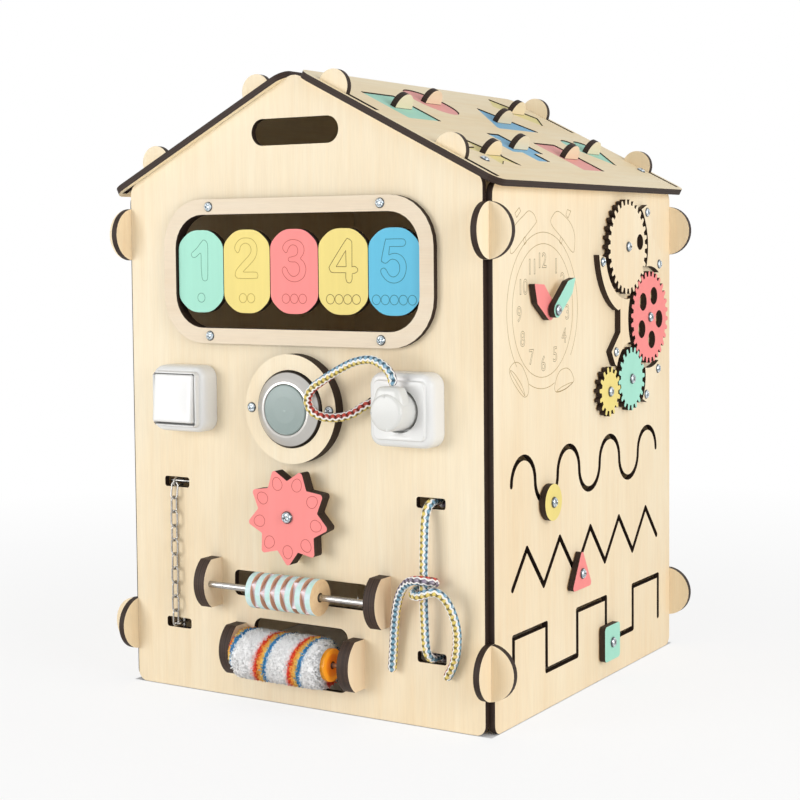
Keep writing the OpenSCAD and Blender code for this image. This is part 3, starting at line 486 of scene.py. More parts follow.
def plastic(name, colour, roughness):
    """Moulded plastic with a fine even texture."""
    material, shader, add = shading(name, roughness)
    skin = add("TexNoise", add("TexCoord", out=3), None, 900.0, 2.0)
    put(shader.inputs["Base Color"], blend_of(add, skin, linear(*colour),
                                              linear(*(c*0.975 for c in colour))))
    put(shader.inputs["Normal"], add("Bump", 0.15, 0.00005, None, skin))
    return material


def rounded_ring(width, height, radius, steps=8):
    """A rectangle with round corners, as 4 arcs of points about the origin."""
    turn = np.linspace(0, np.pi/2, steps)
    quarter = np.arange(4)[:, None]*np.pi/2
    a = quarter + turn
    middle = quarter + np.pi/4
    return stacked(np.sign(np.cos(middle))*(width/2 - radius) + radius*np.cos(a),
                   np.sign(np.sin(middle))*(height/2 - radius) + radius*np.sin(a)).reshape(-1, 2)


def on_front(x, z, out):
    """Points in metres from millimetres right, up and out of the front wall."""
    x, z, out = (np.asarray(v)/1000 for v in (x, z, out))
    return stacked(x, front_y - out, z)


def ringed(rings, place_on, middles=None):
    """Points and faces of a closed shell through round-cornered rings [distance, width,
    height, corner radius], which place_on(across, up, distance) puts in their place. middles
    are the distances of its two end faces' middles, if they aren't the end rings' own."""
    outline = np.array([rounded_ring(*ring[1:]) for ring in rings])
    distance = np.array([ring[0] for ring in rings])[:, None]
    return closed_tube(place_on(outline[..., 0], outline[..., 1], distance),
                       *(place_on(0, 0, middle) for middle in middles or distance[[0, -1], 0]))


def moulding(name, at, rings, material, body, slot):
    """A shell on the front wall whose rings run outwards and down again into any well. Its
    sides are smooth and its two end faces flat."""
    points, faces = ringed(rings, lambda x, z, out: on_front(at[0] + x, at[1] + z, out))
    piece = mesh_piece(name, points, faces, material, body, slot,
                       smooth=np.repeat([True, False], [len(block) for block in faces]))
    piece.modifiers.new("edges", "WEIGHTED_NORMAL")
    return piece


main_route = [[138, -18, 196.2], [138, -8, 196], [138, 0.5, 195.2], [138, 7, 190.5],
    [138, 10.5, 181], [138, 12, 163], [138, 13, 144], [138, 13, 112], [138, 12, 93],
    [138, 10.5, 76], [138, 7, 66], [138, 0.5, 61.2], [138, -8, 60.6], [138, -18, 60.6]]
tied_route = [[101, 6, 46], [103, 6.5, 66], [106, 9, 88], [110.5, 12, 107], [117.5, 15.5, 121],
    [126.5, 19, 129.5], [137, 22.2, 132.5], [145.5, 18.8, 132], [147.5, 12, 130.5], [145, 6.5, 128],
    [138, 4, 125.5], [131, 6.5, 123], [128.5, 12.5, 120.5], [131, 18.8, 118.5], [138.5, 22.6, 119],
    [147.5, 23.5, 122.5], [155.5, 21.5, 123.5], [162, 17.5, 117], [166.5, 13, 104], [168, 9, 88],
    [166, 7, 70], [161.5, 6, 57], [155, 5.5, 46]]
plug_route = [[121, 33.5, 298], [120.4, 33, 305], [113, 32, 313.5], [99, 30.5, 319],
    [82, 29.5, 317], [65, 28.5, 310], [47, 27.5, 300], [34, 27, 291], [29.5, 26.5, 281],
    [34, 25.5, 271.5], [44, 22.5, 267], [57, 16, 267], [67, 11, 270.5], [74, 6, 276], [80, 0, 279],
    [86, -6, 279], [90, -11, 279], [91, -18, 279]]

main_rope, line, length = rope("upright_rope", main_route, -1.83)
knots = [stopper_knot("upright_rope_knot_" + k, x, z)
         for k, x, z in (("top", 138, 196.2), ("foot", 138, 60.6))]
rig.replaces(main_rope, "main_rope")
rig.cord(main_rope, exit=line[0], length=length, diameter=0.008, far_end="object",
        stiffness="limp", lay="taut", path=line, with_pieces=knots)
tied_rope, line, length = rope("knotted_rope", tied_route, 2.93, math.pi)
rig.replaces(tied_rope, "tied_rope")
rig.cord(tied_rope, exit=line[0], length=length, diameter=0.008, far_end="bare",
        stiffness="limp", lay="hanging", path=line)

# The plug's round body and the neck that the rope comes out of are one moulding
white_gloss = plastic("white_gloss", (229, 229, 227), 0.26)
plug_white = plastic("plug_white", (219, 219, 215), 0.24)
zinc, shader, add = shading("zinc", 0.3, 0.5, 1.0)
patches = add("TexNoise", add("TexCoord", out=3), None, 300.0, 3.0)
put(shader.inputs["Base Color"],
    blend_of(add, patches, linear(150, 147, 143), linear(190, 188, 185)))
put(shader.inputs["Roughness"], add("MapRange", patches, 0.3, 0.7, 0.23, 0.37))
socket_at, plug_base, plug_front = (120.1, 275.9), 11.2, 44
plug_profile = [(plug_base, 16.4), (plug_base + 0.3, 16.8), (25, 16.8), (33, 16.2),
                (plug_front - 3.4, 16), (plug_front - 1.4, 15.5), (plug_front - 0.4, 14.4),
                (plug_front, 12.6)]
plug_body = moulding("plug_body", socket_at, [(out, 2*r, 2*r, r) for out, r in plug_profile],
                     plug_white, "plug", "white_plastic")
neck_rings = [(2, 30, 15.5, 5), (8, 29.6, 16.6, 5), (13, 27.4, 16.8, 5), (17.5, 24.2, 16.6, 5),
              (20.2, 21.6, 15.2, 5), (21.2, 18.6, 12.6, 4.6), (21.5, 14, 9, 4.4)]
neck_out = 33.6
neck = ringed(neck_rings, lambda x, out, z: on_front(socket_at[0] + x, socket_at[1] + z,
                                                     neck_out + out))
plug_neck = mesh_piece("plug_neck", *neck, plug_white, "plug", "white_plastic")
pin_places = {side: (socket_at[0] + x, socket_at[1])
              for side, x in (("left", -9.5), ("right", 9.5))}
pins = [moulding("plug_pin_" + side, at,
                 [(1.7, 2.6, 2.6, 1.3), (2.0, 3.8, 3.8, 1.9), (2.8, 4.8, 4.8, 2.4),
                  (plug_base + 0.2, 4.8, 4.8, 2.4)], zinc, "plug", "zinc_steel")
        for side, at in pin_places.items()]
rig.replaces(plug_body, "plug")

# The plug's rope starts at its hole in the wall and bends between the house and the plug
plug_rope, line, length = rope("plug_lead_rope", plug_route[::-1], 1.6, math.pi/2)
knot = stopper_knot("plug_rope_knot", 91, 279)
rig.replaces(plug_rope, "plug_rope")
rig.cord(plug_rope, exit=line[0], length=length, diameter=0.008, far_end="plug",
        stiffness="limp", lay="hanging", path=line,
        with_pieces=[knot, plug_body, plug_neck] + pins)
plug_rope.parent = None
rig.blend(plug_rope, "house", "plug", start=(0.05, front_y - 0.012, 0.280),
         end=(0.05, front_y - 0.030, 0.305))


# ---- Bare plywood --------------------------------------------------------
# Laser-cut 6 mm birch plywood: pale, matt faces with a fine vertical grain, and edges burnt
# dark brown by the cut, where the plies show as faint stripes.
X, Y, Z = (1, 0, 0), (0, 1, 0), (0, 0, 1)
front_face, ply = (0, -1, 0), 0.006


def plywood(name, sheet, grain, paint=None, both=False, warm=0.0, grey=0.0, layer=None,
            handle=None, seams=(), char=0.0):
    """A plywood finish for a sheet with the given normal and grain direction. Its faces are
    bare or painted, and where the normal leaves the sheet's, the edge is burnt. layer keeps
    the paint beyond that depth, on the outer ply of a doubled piece. handle = (direction,
    depth) is a bare board that stands on the sheet from that depth on, and looks in that
    direction. seams are the depths at which one board lies on another, and char makes the
    burnt edge lighter."""
    material, shader, add = shading(name, 0.62, 0.3)
    sheet, grain = Vector(sheet).normalized(), Vector(grain).normalized()
    texture = add("TexCoord", out=3)
    normal = texture.node.outputs[1]

    def dot(vector, axis):
        """How far a vector goes along an axis."""
        return add("VectorMath", vector, tuple(axis), operation="DOT_PRODUCT", out=1)

    def faces_along(leaning):
        """1 where the surface looks along the axis that leaning was worked out for."""
        return add("MapRange", add("ABSOLUTE", leaning), 0.55, 0.75, 0.0, 1.0)

    def noise(along_grain, across_grain, detail, roughness=0.5):
        """Noise of so many waves a metre along and across the grain."""
        stretched = add("CombineXYZ", add("MULTIPLY", g, along_grain),
                        add("MULTIPLY", a, across_grain), add("MULTIPLY", w, across_grain))
        return add("TexNoise", stretched, None, 1.0, detail, roughness)

    g, a, w = dot(texture, grain), dot(texture, sheet.cross(grain)), dot(texture, sheet)
    fibres = noise(9.0, 150.0, 3.0, 0.6)
    clouds = noise(5.0, 9.0, 3.0, 0.5)
    flame = noise(3.0, 22.0, 2.0, 0.45)
    pores = noise(45.0, 900.0, 1.0)
    figure = add("ADD", add("MULTIPLY", fibres, 0.30), add("MULTIPLY", clouds, 0.46))
    figure = add("ADD", figure, add("MULTIPLY", flame, 0.24))
    tone = ramp_of(add, figure, [
        (0.36, (245 - 8*grey, 231 - 2*warm - 9*grey, 203 - 5*warm - 6*grey)),
        (0.66, (237 - 8*grey, 215 - 4*warm - 7*grey, 178 - 6*warm))])
    face = blend_of(add, 1.0, tone, add("MapRange", pores, 0.35, 0.65, 0.965, 1.0),
                    blend_type="MULTIPLY")
    side = dot(normal, sheet)
    flat = faces_along(side)
    if paint:
        coat = blend_of(add, add("MapRange", figure, 0.36, 0.66, 0.0, 1.0), linear(*paint),
                        linear(*(c*0.955 for c in paint)))
        where = flat if both else add("MapRange", side, 0.5, 0.7, 0.0, 1.0)
        if layer:
            where = add("MULTIPLY", where, add("GREATER_THAN", w, layer))
        face = blend_of(add, where, face, coat)
    if handle:
        direction, depth = handle
        stands = add("GREATER_THAN", w, depth)
        flat = add("Mix", stands, None, flat, faces_along(dot(normal, direction)))
        face = blend_of(add, stands, face, tone)
    plies = add("MULTIPLY_ADD", add("SINE", add("MULTIPLY", w, 2*math.pi/0.0024)), 0.5, 0.5)
    soot = add("TexNoise", texture, None, 110.0, 2.0)
    burnt = blend_of(add, add("ADD", add("MULTIPLY", plies, 0.5), add("MULTIPLY", soot, 0.6)),
                     linear(30 + 30*char, 20 + 24*char, 15 + 22*char),
                     linear(58 + 36*char, 41 + 34*char, 31 + 32*char))
    for depth in seams:
        gap = add("ABSOLUTE", add("SUBTRACT", w, depth))
        burnt = blend_of(add, add("MapRange", gap, 0.0002, 0.0005, 1.0, 0.0), burnt,
                         linear(30 + 18*char, 21 + 14*char, 16 + 12*char))
    put(shader.inputs["Base Color"], blend_of(add, flat, burnt, face))
    put(shader.inputs["Normal"], add("Bump", 0.12, 0.0004, None, fibres))
    return material


def finish(node, material):
    """The node's own solid gets this finish."""
    bpy.data.objects[node].data.materials.clear()
    bpy.data.objects[node].data.materials.append(material)


front_wood = plywood("birch_front", front_face, Z)
side_wood = plywood("birch_side", X, Z, warm=0.6)
for node in ("front_panel", "back_panel", "star_spacer"):
    finish(node, front_wood)
finish("window_frame", plywood("birch_frame", front_face, X, warm=-0.3, grey=1.3))
for node in ("left_panel", "right_panel", "gear_guards", "plain_gear"):
    finish(node, side_wood)
finish("lamp_ring", plywood("birch_ring", front_face, Z, seams=[-front_y + ply]))
slope = math.radians(27)
roof_out = {"right": (math.sin(slope), 0, math.cos(slope)),
            "left": (-math.sin(slope), 0, math.cos(slope))}
# The roof's birch is a lighter copy (grey below 0): painted light, making up for the lamps lighting the slopes less
# than the walls
for side in ("right", "left"):
    finish("roof_" + side, plywood("birch_roof_" + side, roof_out[side], Y, grey=-0.8))
finish("roof_backing", plywood("birch_backing", roof_out["right"], Y, grey=-0.8))
bracket_seams = [c[k].x + s*ply for node in ("spool_brackets", "roller_brackets")
                 for c in [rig.box(node)] for k, s in ((0, 1), (1, -1))]
bracket_wood = plywood("birch_brackets", X, Z, warm=1.2, grey=0.6, seams=bracket_seams, char=0.35)
finish("spool_brackets", bracket_wood)
finish("roller_brackets", bracket_wood)

# ---- Painted plywood -----------------------------------------------------
# The same plywood with one matt coat on its faces before cutting, so the edges stay burnt:
# number plates, star wheel, hands, gears and sliding knobs.
paints = {"mint": (170, 229, 208), "yellow": (241, 221, 134), "coral": (250, 146, 142),
          "blue": (102, 194, 226)}
plate_paints = ("mint", "yellow", "coral", "yellow", "blue")
for number, paint in enumerate(plate_paints, 1):
    finish("number_plate_%d" % number,
           plywood("paint_front_%s_%d" % (paint, number), front_face, Z, paints[paint], both=True))
finish("star_wheel", plywood("paint_star_coral", front_face, Z, paints["coral"],
                             layer=-front_y + 2*ply + 0.0001, seams=[-front_y + 2*ply]))
for node, paint in (("hour_hand", "coral"), ("minute_hand", "mint"), ("coral_gear", "coral"),
                    ("mint_gear", "mint"), ("yellow_gear", "yellow"), ("disc_knob", "yellow"),
                    ("triangle_knob", "coral"), ("square_knob", "mint")):
    finish(node, plywood("paint_" + node, X, Z, paints[paint]))

# ---- Puzzle tiles --------------------------------------------------------
# Painted plywood shapes that lie in the roof's cut-outs, each with a half-round bare handle
# set on edge across the slope.
uphill = (-math.cos(slope), 0, math.sin(slope))
roof_top = 0.51326              # the slope's distance from the middle of the floor
tile_paints = {"mint": (172, 226, 206), "yellow": (240, 227, 160), "coral": (242, 170, 164),
               "blue": (134, 190, 224)}
for node, paint in (("square", "mint"), ("circle", "coral"), ("oblong", "yellow"),
                    ("triangle", "blue"), ("star", "yellow"), ("cross", "blue"),
                    ("block", "coral"), ("heart", "mint")):
    finish("tile_" + node, plywood("paint_tile_" + node, roof_out["right"], Y, tile_paints[paint],
                                   handle=(uphill, roof_top - 0.0006)))


# ---- Engraving -----------------------------------------------------------
# Fine lines burnt by the laser: a big round-ended digit and as many rings on each number
# plate, a ring in every point of the star wheel, and an alarm clock round the hands.
def ink(name, colour):
    """The scorched line: a flat brown, darker where the beam slowed."""
    material, shader, add = shading(name, 0.8, 0.2)
    scorch = add("TexNoise", add("TexCoord", out=3), None, 160.0, 2.0)
    put(shader.inputs["Base Color"], blend_of(add, scorch, linear(*(c*0.82 for c in colour)),
                                              linear(*colour)))
    return material


def engrave(name, place_on, at, outlines, width, burn, body, slot):
    """Lines on a face, drawn round the place at = (across, up, out): flat bands of one width
    along outlines of (points, closed). A band's section has four corners, half a width to
    each side of the line and 0.06 above and below the face."""
    points, faces, start = [], [], 0
    for line, closed in outlines:
        ahead = np.roll(line, -1, 0) - np.roll(line, 1, 0) if closed else np.gradient(line, axis=0)
        ahead = unit(ahead)
        beside = stacked(-ahead[:, 1], ahead[:, 0])*width/2
        band = np.stack([stacked(*(line + s*beside).T, h) for s, h in (
            (1, 0.06), (1, -0.06), (-1, -0.06), (-1, 0.06))], 1)
        points.append(band.reshape(-1, 3) + at)
        n = len(line)
        faces.append(quads(n, 4, wrap_rows=closed, wrap_columns=True) + start)
        if not closed:
            faces.append(np.array([[0, 1, 2, 3], [4*n - 1, 4*n - 2, 4*n - 3, 4*n - 4]]) + start)
        start += 4*n
    mesh_piece(name, place_on(*np.vstack(points).T), faces, burn, body, slot, smooth=False)


def circle(x, y, radius, start=0.0, end=360.0, closed=True):
    """Points round a circle, or round the part of it between two angles in degrees."""
    n = max(24, int(radius*2.5))
    a = np.radians(np.linspace(start, end, n, endpoint=not closed))
    return stacked(x + radius*np.cos(a), y + radius*np.sin(a)), closed


def curve(*points):
    """A smooth closed line through the points."""
    return along(points, 0.6, closed=True)[0], True


def corners(*points):
    """A closed line of straight stretches."""
    p = np.array(points + points[:1], float)
    run = np.r_[0, np.cumsum(np.linalg.norm(np.diff(p, axis=0), axis=1))]
    even = np.unique(np.r_[np.arange(0, run[-1], 0.7), run[:-1]])
    return np.stack([np.interp(even, run, p[:, k]) for k in (0, 1)], 1), True


digits = {
    1: [curve((3.7, 28.8), (7, 26.9), (8.2, 23), (8.1, 10.5), (7.6, -5.6), (5.8, -8.5), (3.2, -8.6),
        (1.3, -6.3), (0.4, 3), (0.3, 15), (-1, 16.6), (-3.9, 14.4), (-7.3, 12.7), (-10.2, 13.5),
        (-10.9, 15.6), (-9.7, 17.5), (-4.7, 21.3), (1.2, 27.3))],
    2: [curve((-10.3, 16.9), (-13.1, 21), (-11.1, 25.9), (-6.3, 29.4), (-0.7, 30.3), (5.8, 29.3),
        (10.4, 25.4), (12, 20.1), (11.1, 14.9), (8.3, 10.4), (1.6, 4.4), (-3.2, 0.4), (-2.6, -0.6),
        (9.9, -0.7), (12.3, -2.3), (12.3, -4.9), (9.8, -6.3), (-8.9, -6.3), (-12.1, -5),
        (-13, -2.4), (-11.1, 1.8), (-3.9, 8.6), (3.2, 14.9), (5.3, 19), (4, 23.2), (0.1, 25.4),
        (-3.6, 24.9), (-6.5, 22.5), (-7.9, 18.7))],
    3: [curve((-9.1, 16.9), (-12, 20.7), (-9.9, 25.1), (-5.3, 27.7), (0.1, 28.4), (6.4, 26.8),
        (10.3, 23.1), (11.2, 18.7), (9.8, 14.7), (7.4, 11.6), (10.6, 8.5), (12.7, 4.1), (12.7, 0),
        (10.4, -5.1), (5.8, -8.1), (0.4, -9.2), (-5.9, -7.8), (-10.8, -3.7), (-12.8, 0.7),
        (-12.2, 3), (-10.2, 4.1), (-8, 2.6), (-6.2, -0.7), (-3.1, -3.7), (0.5, -4.4), (4.6, -2.2),
        (6.2, 1.9), (5.1, 5.9), (2, 8.3), (-1.1, 8.5), (-4.7, 8.9), (-6.1, 10.7), (-5.1, 12.4),
        (-1, 13.3), (3, 14.7), (4.4, 18.4), (3.1, 22.1), (-0.4, 23.7), (-3.6, 22.9), (-5.9, 20.3),
        (-7.3, 17.4))],
    4: [curve((5.7, 28.5), (8.4, 27.1), (9.5, 24), (9.4, 5.4), (10, 4.6), (12.7, 4.4), (15.1, 2.6),
        (15, 0.3), (12.6, -1.3), (10.1, -1.7), (9.5, -2.6), (9.4, -6.7), (8, -9.3), (6.1, -9.9),
        (4.1, -9), (2.9, -6.1), (2.8, -1.8), (2.2, -1), (-10.5, -0.9), (-13.4, 0.6), (-14.3, 2.9),
        (-13.3, 5.9), (2.5, 26.8)), corners((3, 18.4), (3.3, 4.3), (-7.2, 4.3))],
    5: [curve((-8.5, 26.6), (-6.2, 27.9), (8.3, 28), (11, 26.9), (12, 24.8), (11, 22.7),
        (8.3, 21.6), (-3.4, 21.6), (-4.2, 21), (-5.1, 15), (-4.7, 14.4), (-1.9, 15.4), (2.2, 15.7),
        (6.9, 14.1), (10.5, 10.7), (12.3, 5.5), (11.7, -0.8), (8.7, -6.2), (3.9, -9.1),
        (-1.5, -9.7), (-6.9, -8), (-11.6, -3.7), (-13.4, -0.2), (-12.9, 2), (-10.3, 3.1),
        (-7.8, 1.5), (-5.1, -2.5), (-1.4, -4.5), (2.6, -3.4), (5.4, 0.4), (5.6, 5.2), (3.4, 9),
        (-0.6, 10.7), (-4, 10), (-7.1, 7.7), (-9.2, 7.3), (-11.6, 8.4), (-12.5, 10.7))]}
plate_pitch, plate_z, ring_pitch = 52.4, 393.3, 9.1
line_colours = {1: (118, 172, 150), 2: (196, 170, 88), 3: (208, 104, 96), 4: (132, 112, 66),
                5: (70, 128, 140)}
for number, outlines in digits.items():
    rings = [circle(ring_pitch*(k - (number + 1)/2), -24.3, 4.2) for k in range(1, number + 1)]
    engrave("digit_%d" % number, on_front, ((number - 3)*plate_pitch, plate_z, 3),
            outlines + rings, 0.55, ink("ink_digit_%d" % number, line_colours[number]),
            "plate_%d" % number, plate_paints[number - 1] + "_paint")

star_z, star_face, tip_angle = 174.8, 18, 40
t = np.linspace(0, 2*np.pi, 40, endpoint=False)
r = 5.2 + 1.5*np.maximum(0, np.cos(t))**3           # a drop that points to the tip
x, y = 30.5 + r*np.cos(t), r*np.sin(t)
rings = [(stacked(x*math.cos(a) - y*math.sin(a), x*math.sin(a) + y*math.cos(a)), True)
         for a in np.radians(-90 + tip_angle*np.arange(9))]
engrave("star_rings", on_front, (0, star_z, star_face), rings, 0.5,
        ink("ink_star", (205, 96, 92)), "star", "coral_paint")


def on_right(y, z, out):
    """Points in metres from millimetres back along the right wall, up, and out of it."""
    y, z, out = (np.asarray(v)/1000 for v in (y, z, out))
    return stacked(right_x + out, front_y + y, z)


clock_middle, clock_axis = (99.4, 357.2), (99.4, 357.8)
clock_lines = [
    circle(*clock_middle, 58.9),
    circle(*clock_middle, 69, -38, 222, closed=False),
    circle(*clock_middle, 69, 246, 288, closed=False),
    curve((85.1, 434.1), (63, 421), (40.8, 408), (37.3, 414.3), (40.5, 426.2), (48.3, 433.3),
        (62.6, 440.6), (71.9, 444.6), (81.2, 442), (85.9, 437)),
    curve((115.2, 433.7), (137, 420.8), (158.8, 408), (163.1, 416), (162.3, 425), (155, 433.9),
        (143.5, 440.1), (129.3, 444.8), (119.4, 441.6)),
    corners((54.1, 447.2), (56.7, 444.2), (49.6, 438.7), (46.3, 442.3)),
    corners((147.9, 446.7), (155.1, 445.3), (149.3, 438.9), (145, 441.4)),
    corners((61.4, 420.4), (64.6, 422.4), (67, 417.4), (63.9, 415.4)),
    corners((131.6, 417.4), (134.4, 422.2), (138.2, 420.2), (135.2, 415.4)),
    curve((45.8, 314.9), (36.8, 311.6), (34.9, 306.9), (41.7, 298), (57.2, 285.9), (65.6, 283.7),
        (70.4, 288.5), (68.4, 298.5), (57.4, 311.4)),
    curve((36.2, 308.4), (44.4, 305.1), (57.3, 294.4), (63.4, 284.8), (58, 289), (46, 299.4)),
    curve((144, 303.3), (129.7, 300.3), (121.1, 288.3), (125.3, 282.9), (142.4, 284.3),
        (158.5, 289.2), (160, 293), (154.2, 299.8)),
    curve((125.3, 283.4), (136.7, 287), (157.4, 289.4), (148, 285.8), (136, 283.6))]
engrave("clock_lines", on_right, (0, 0, 0), clock_lines, 0.5, ink("ink_clock", (186, 158, 104)),
        "house", "birch")


def points_of(mesh):
    """A mesh's points as an array."""
    points = np.empty(len(mesh.vertices)*3)
    mesh.vertices.foreach_get("co", points)
    return points.reshape(-1, 3)


def number_outline(text, size):
    """The outline of a number as thin square bands round its centre, from the built-in
    letter shapes: points in the plane and faces."""
    letters = bpy.data.curves.new("number", "FONT")
    letters.body, letters.size = text, size
    letters.fill_mode, letters.bevel_depth, letters.bevel_resolution = "NONE", 0.24, 0
    letters.resolution_u, letters.space_character = 4, 0.95
    thing = bpy.data.objects.new("number", letters)
    bpy.context.scene.collection.objects.link(thing)
    mesh = bpy.data.meshes.new_from_object(thing.evaluated_get(
        bpy.context.evaluated_depsgraph_get()))
    p = points_of(mesh)
    p[:, :2] -= (p[:, :2].min(0) + p[:, :2].max(0))/2
    corner = np.empty(len(mesh.loops), np.int32)
    mesh.loops.foreach_get("vertex_index", corner)
    bpy.data.objects.remove(thing)
    bpy.data.meshes.remove(mesh)
    return p, corner.reshape(-1, 4)


numerals = {12: (98.4, 401.6), 1: (124.7, 396.2), 2: (138, 383.3), 3: (147.2, 354.1),
            4: (140.5, 333.2), 5: (122.1, 317.2), 6: (99, 310.5), 7: (76, 317.5), 8: (59.5, 334.3),
            9: (53.2, 355.8), 10: (62, 379.1), 11: (78.1, 396.3)}
points, faces, start = [], [], 0
for number, (y, z) in numerals.items():
    p, made = number_outline(str(number), 19)
    points.append(on_right(y + p[:, 0], z + p[:, 1], 0.35*p[:, 2]))
    faces.append(made + start)
    start += len(p)
mesh_piece("clock_numbers", np.vstack(points), faces, ink("ink_numbers", (140, 122, 84)),
           "house", "birch", smooth=False)

# ---- Steel ---------------------------------------------------------------
# Bright zinc-plated rods, chain, pins and bolts. The screws and bolts have round heads with a
# cross recess: screws hold the frame, the lamp's ring, the gear guards and the roof board.
for node in ("number_rod", "chain", "chain_pins", "spool_rod", "roller_rod", "pivot_bolts",
             "disc_bolt", "triangle_bolt", "square_bolt"):
    finish(node, zinc)
head_zinc, shader, add = shading("head_zinc", 0.25, 0.5, 1.0)
split = add("SeparateXYZ", add("UVMap"))
patches = add("TexNoise", add("TexCoord", out=3), None, 500.0, 2.0)
plated = blend_of(add, add("MapRange", patches, 0.4, 0.6, 0.0, 1.0), linear(150, 164, 172),
                  linear(222, 228, 232))
# The cross recess is coloured nearly black as painted shade, and the rim is a darker grey
plated = blend_of(add, split, plated, linear(34, 40, 44))
put(shader.inputs["Base Color"],
    blend_of(add, split.node.outputs[1], plated, linear(84, 88, 92)))

# A head's and shank's radii and heights in millimetres, from the middle of the head down
head_profile = np.array([(0.01, 2.5), (0.3, 2.5), (0.6, 2.49), (0.9, 2.47), (1.2, 2.44),
                         (1.5, 2.4), (1.8, 2.35), (2.1, 2.28), (2.4, 2.2), (2.7, 2.1),
                         (3.1, 1.92), (3.5, 1.66), (3.9, 1.3), (4.15, 0.85), (4.2, 0.5),
                         (4.55, 0.4), (4.6, 0.25), (4.6, 0.02), (1.5, 0), (1.5, -5), (0.7, -6.5),
                         (0.02, -7)])


def heads(name, body, placings):
    """Round heads with a cross recess: head_profile turned round, and sunk by 1.3 where |x|
    or |y| is under 0.7 and the radius under 2.55. A placing is (function, across, up, out,
    size, turn). U tells how far a point lies in the recess, and V is 1 on the rim."""
    a = np.arange(48)/48*2*np.pi
    r, h = head_profile[:, :1], head_profile[:, 1:]
    x, y = r*np.cos(a), r*np.sin(a)
    sunk = np.clip((0.85 - np.minimum(np.abs(x), np.abs(y)))/0.3, 0, 1)*np.clip(
        (2.7 - r)/0.3, 0, 1)*(h > 0)
    h = h - 1.3*sunk
    rim = (r > 4) | (h < 0.6)
    uv = np.vstack([stacked(0.45*sunk, rim).reshape(-1, 2), [0.45, 0], [0, 1]])
    head, blocks = closed_tube(stacked(x, y, h), (0, 0, 1.2), (0, 0, -7))
    x, y, h = head.T
    points, faces = [], []
    for k, (place_on, across, height, out, size, turn) in enumerate(placings):
        c, s = math.cos(turn)*size, math.sin(turn)*size
        points.append(place_on(across + (x*c - y*s), height + (x*s + y*c), out + h*size))
        faces += [block + k*len(head) for block in blocks]
    return mesh_piece(name, np.vstack(points), faces, head_zinc, body, "zinc_steel",
                      np.tile(uv, (len(placings), 1)))


eave, ridge = 209, roof_top/math.cos(slope)*1000


def on_roof(y, s, out):
    """Points in metres from millimetres back, up the slope from the eave's edge, and out."""
    return stacked(
        (eave - s*math.cos(slope) + out*math.sin(slope))/1000, front_y + np.asarray(y)/1000,
        (ridge - eave*math.tan(slope) + s*math.sin(slope) + out*math.cos(slope))/1000)


# The guards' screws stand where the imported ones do, which their vertices tell
packed = points_of(bpy.data.objects["wood_screws"].data)
packed = packed[(packed[:, 0] > right_x + ply + 0.0001) & (packed[:, 2] < 0.47), 1:]*1000
packed[:, 0] -= front_y*1000
guard_screws = []
while len(packed):
    near = np.linalg.norm(packed - packed[0], axis=1) < 11
    guard_screws.append((packed[near].min(0) + packed[near].max(0))/2)
    packed = packed[~near]
frame_screws = [(on_front, x, plate_z + z, 6) for x in (-92.9, 92.9) for z in (-59.1, 59.1)]
lamp_screws = [(on_front, x, 271, 12) for x in (-42, 42)]
roof_screws = [(on_roof, 38, 42, 0), (on_roof, 374, 44, 0)]
places = frame_screws + lamp_screws + roof_screws + [(on_right, y, z, 6) for y, z in guard_screws]
screws = heads("cross_head_screws", "house",
               [(*at, 1.0, 0.5 + 1.3*k) for k, at in enumerate(places)])
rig.replaces(screws, "wood_screws")


def bolt_head(name, body, place_on, across, height, out, size=1.08):
    """The round head that covers the end of a bolt on the given body."""
    heads(name, body, [(place_on, across, height, out, size, 0.4 + across)])


bolt_head("star_bolt_head", "house", on_front, 0, star_z, star_face + 0.9, 1.22)
bolt_head("clock_bolt_head", "house", on_right, *clock_axis, 14.6)
wall_bolt_out = 7.6
for joint in frame["record"]["behaviour"]["joints"]:
    if joint["name"].endswith("gear_spin"):
        bolt_head(joint["child"] + "_bolt_head", "house", on_right,
                  (joint["pos_m"][1] - front_y)*1000, joint["pos_m"][2]*1000, wall_bolt_out)
for body in ("disc", "triangle", "square"):
    low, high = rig.box(body + "_bolt")
    bolt_head(body + "_bolt_head", body, on_right, ((low.y + high.y)/2 - front_y)*1000,
              (low.z + high.z)*500, wall_bolt_out)

# ---- Switch, lamp and socket ---------------------------------------------
# White moulded boxes with soft edges and a raised square lip, round a rocker in the switch
# and a round well in the socket. The lamp has a silver collar and a grey-green button.
def wall_box(width, lip_out, opening):
    """Rings of a box: a straight side, a rounded front edge, the face at 20, the lip, and
    then the rings of its opening."""
    edge = [(0, 0.6), (0.5, 0), (13, 0), (15.5, 0.8), (17.6, 2.4), (19, 4.6), (19.8, 7.2),
            (20, 9)]
    sides = [(out, width - lost, width - lost, 12 - lost/2) for out, lost in edge]
    lip = [(20.1, 51.9), (20.5, 51.2), (lip_out - 1.2, 50.6), (lip_out - 0.35, 50.1),
           (lip_out, 49)]
    return sides + [(out, w, w, 5) for out, w in lip] + opening


switch_at = (-121.3, 276)
switch = moulding("switch_shell", switch_at, wall_box(61.5, 25, [
    (25, 47.7, 47.8, 1.6), (24.7, 47.1, 47.2, 1.5), (9, 47, 47.1, 1.5)]), white_gloss, "house",
    "white_plastic")
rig.replaces(switch, "switch_box")


def on_rocker(x, z, out, axis=16, tip=math.radians(5)):
    """Points in metres from millimetres right, up and out of the rocker's axis, tipped
    5 degrees with the lower edge proud."""
    return on_front(switch_at[0] + x, switch_at[1] + z*math.cos(tip) + out*math.sin(tip),
                    axis + out*math.cos(tip) - z*math.sin(tip))


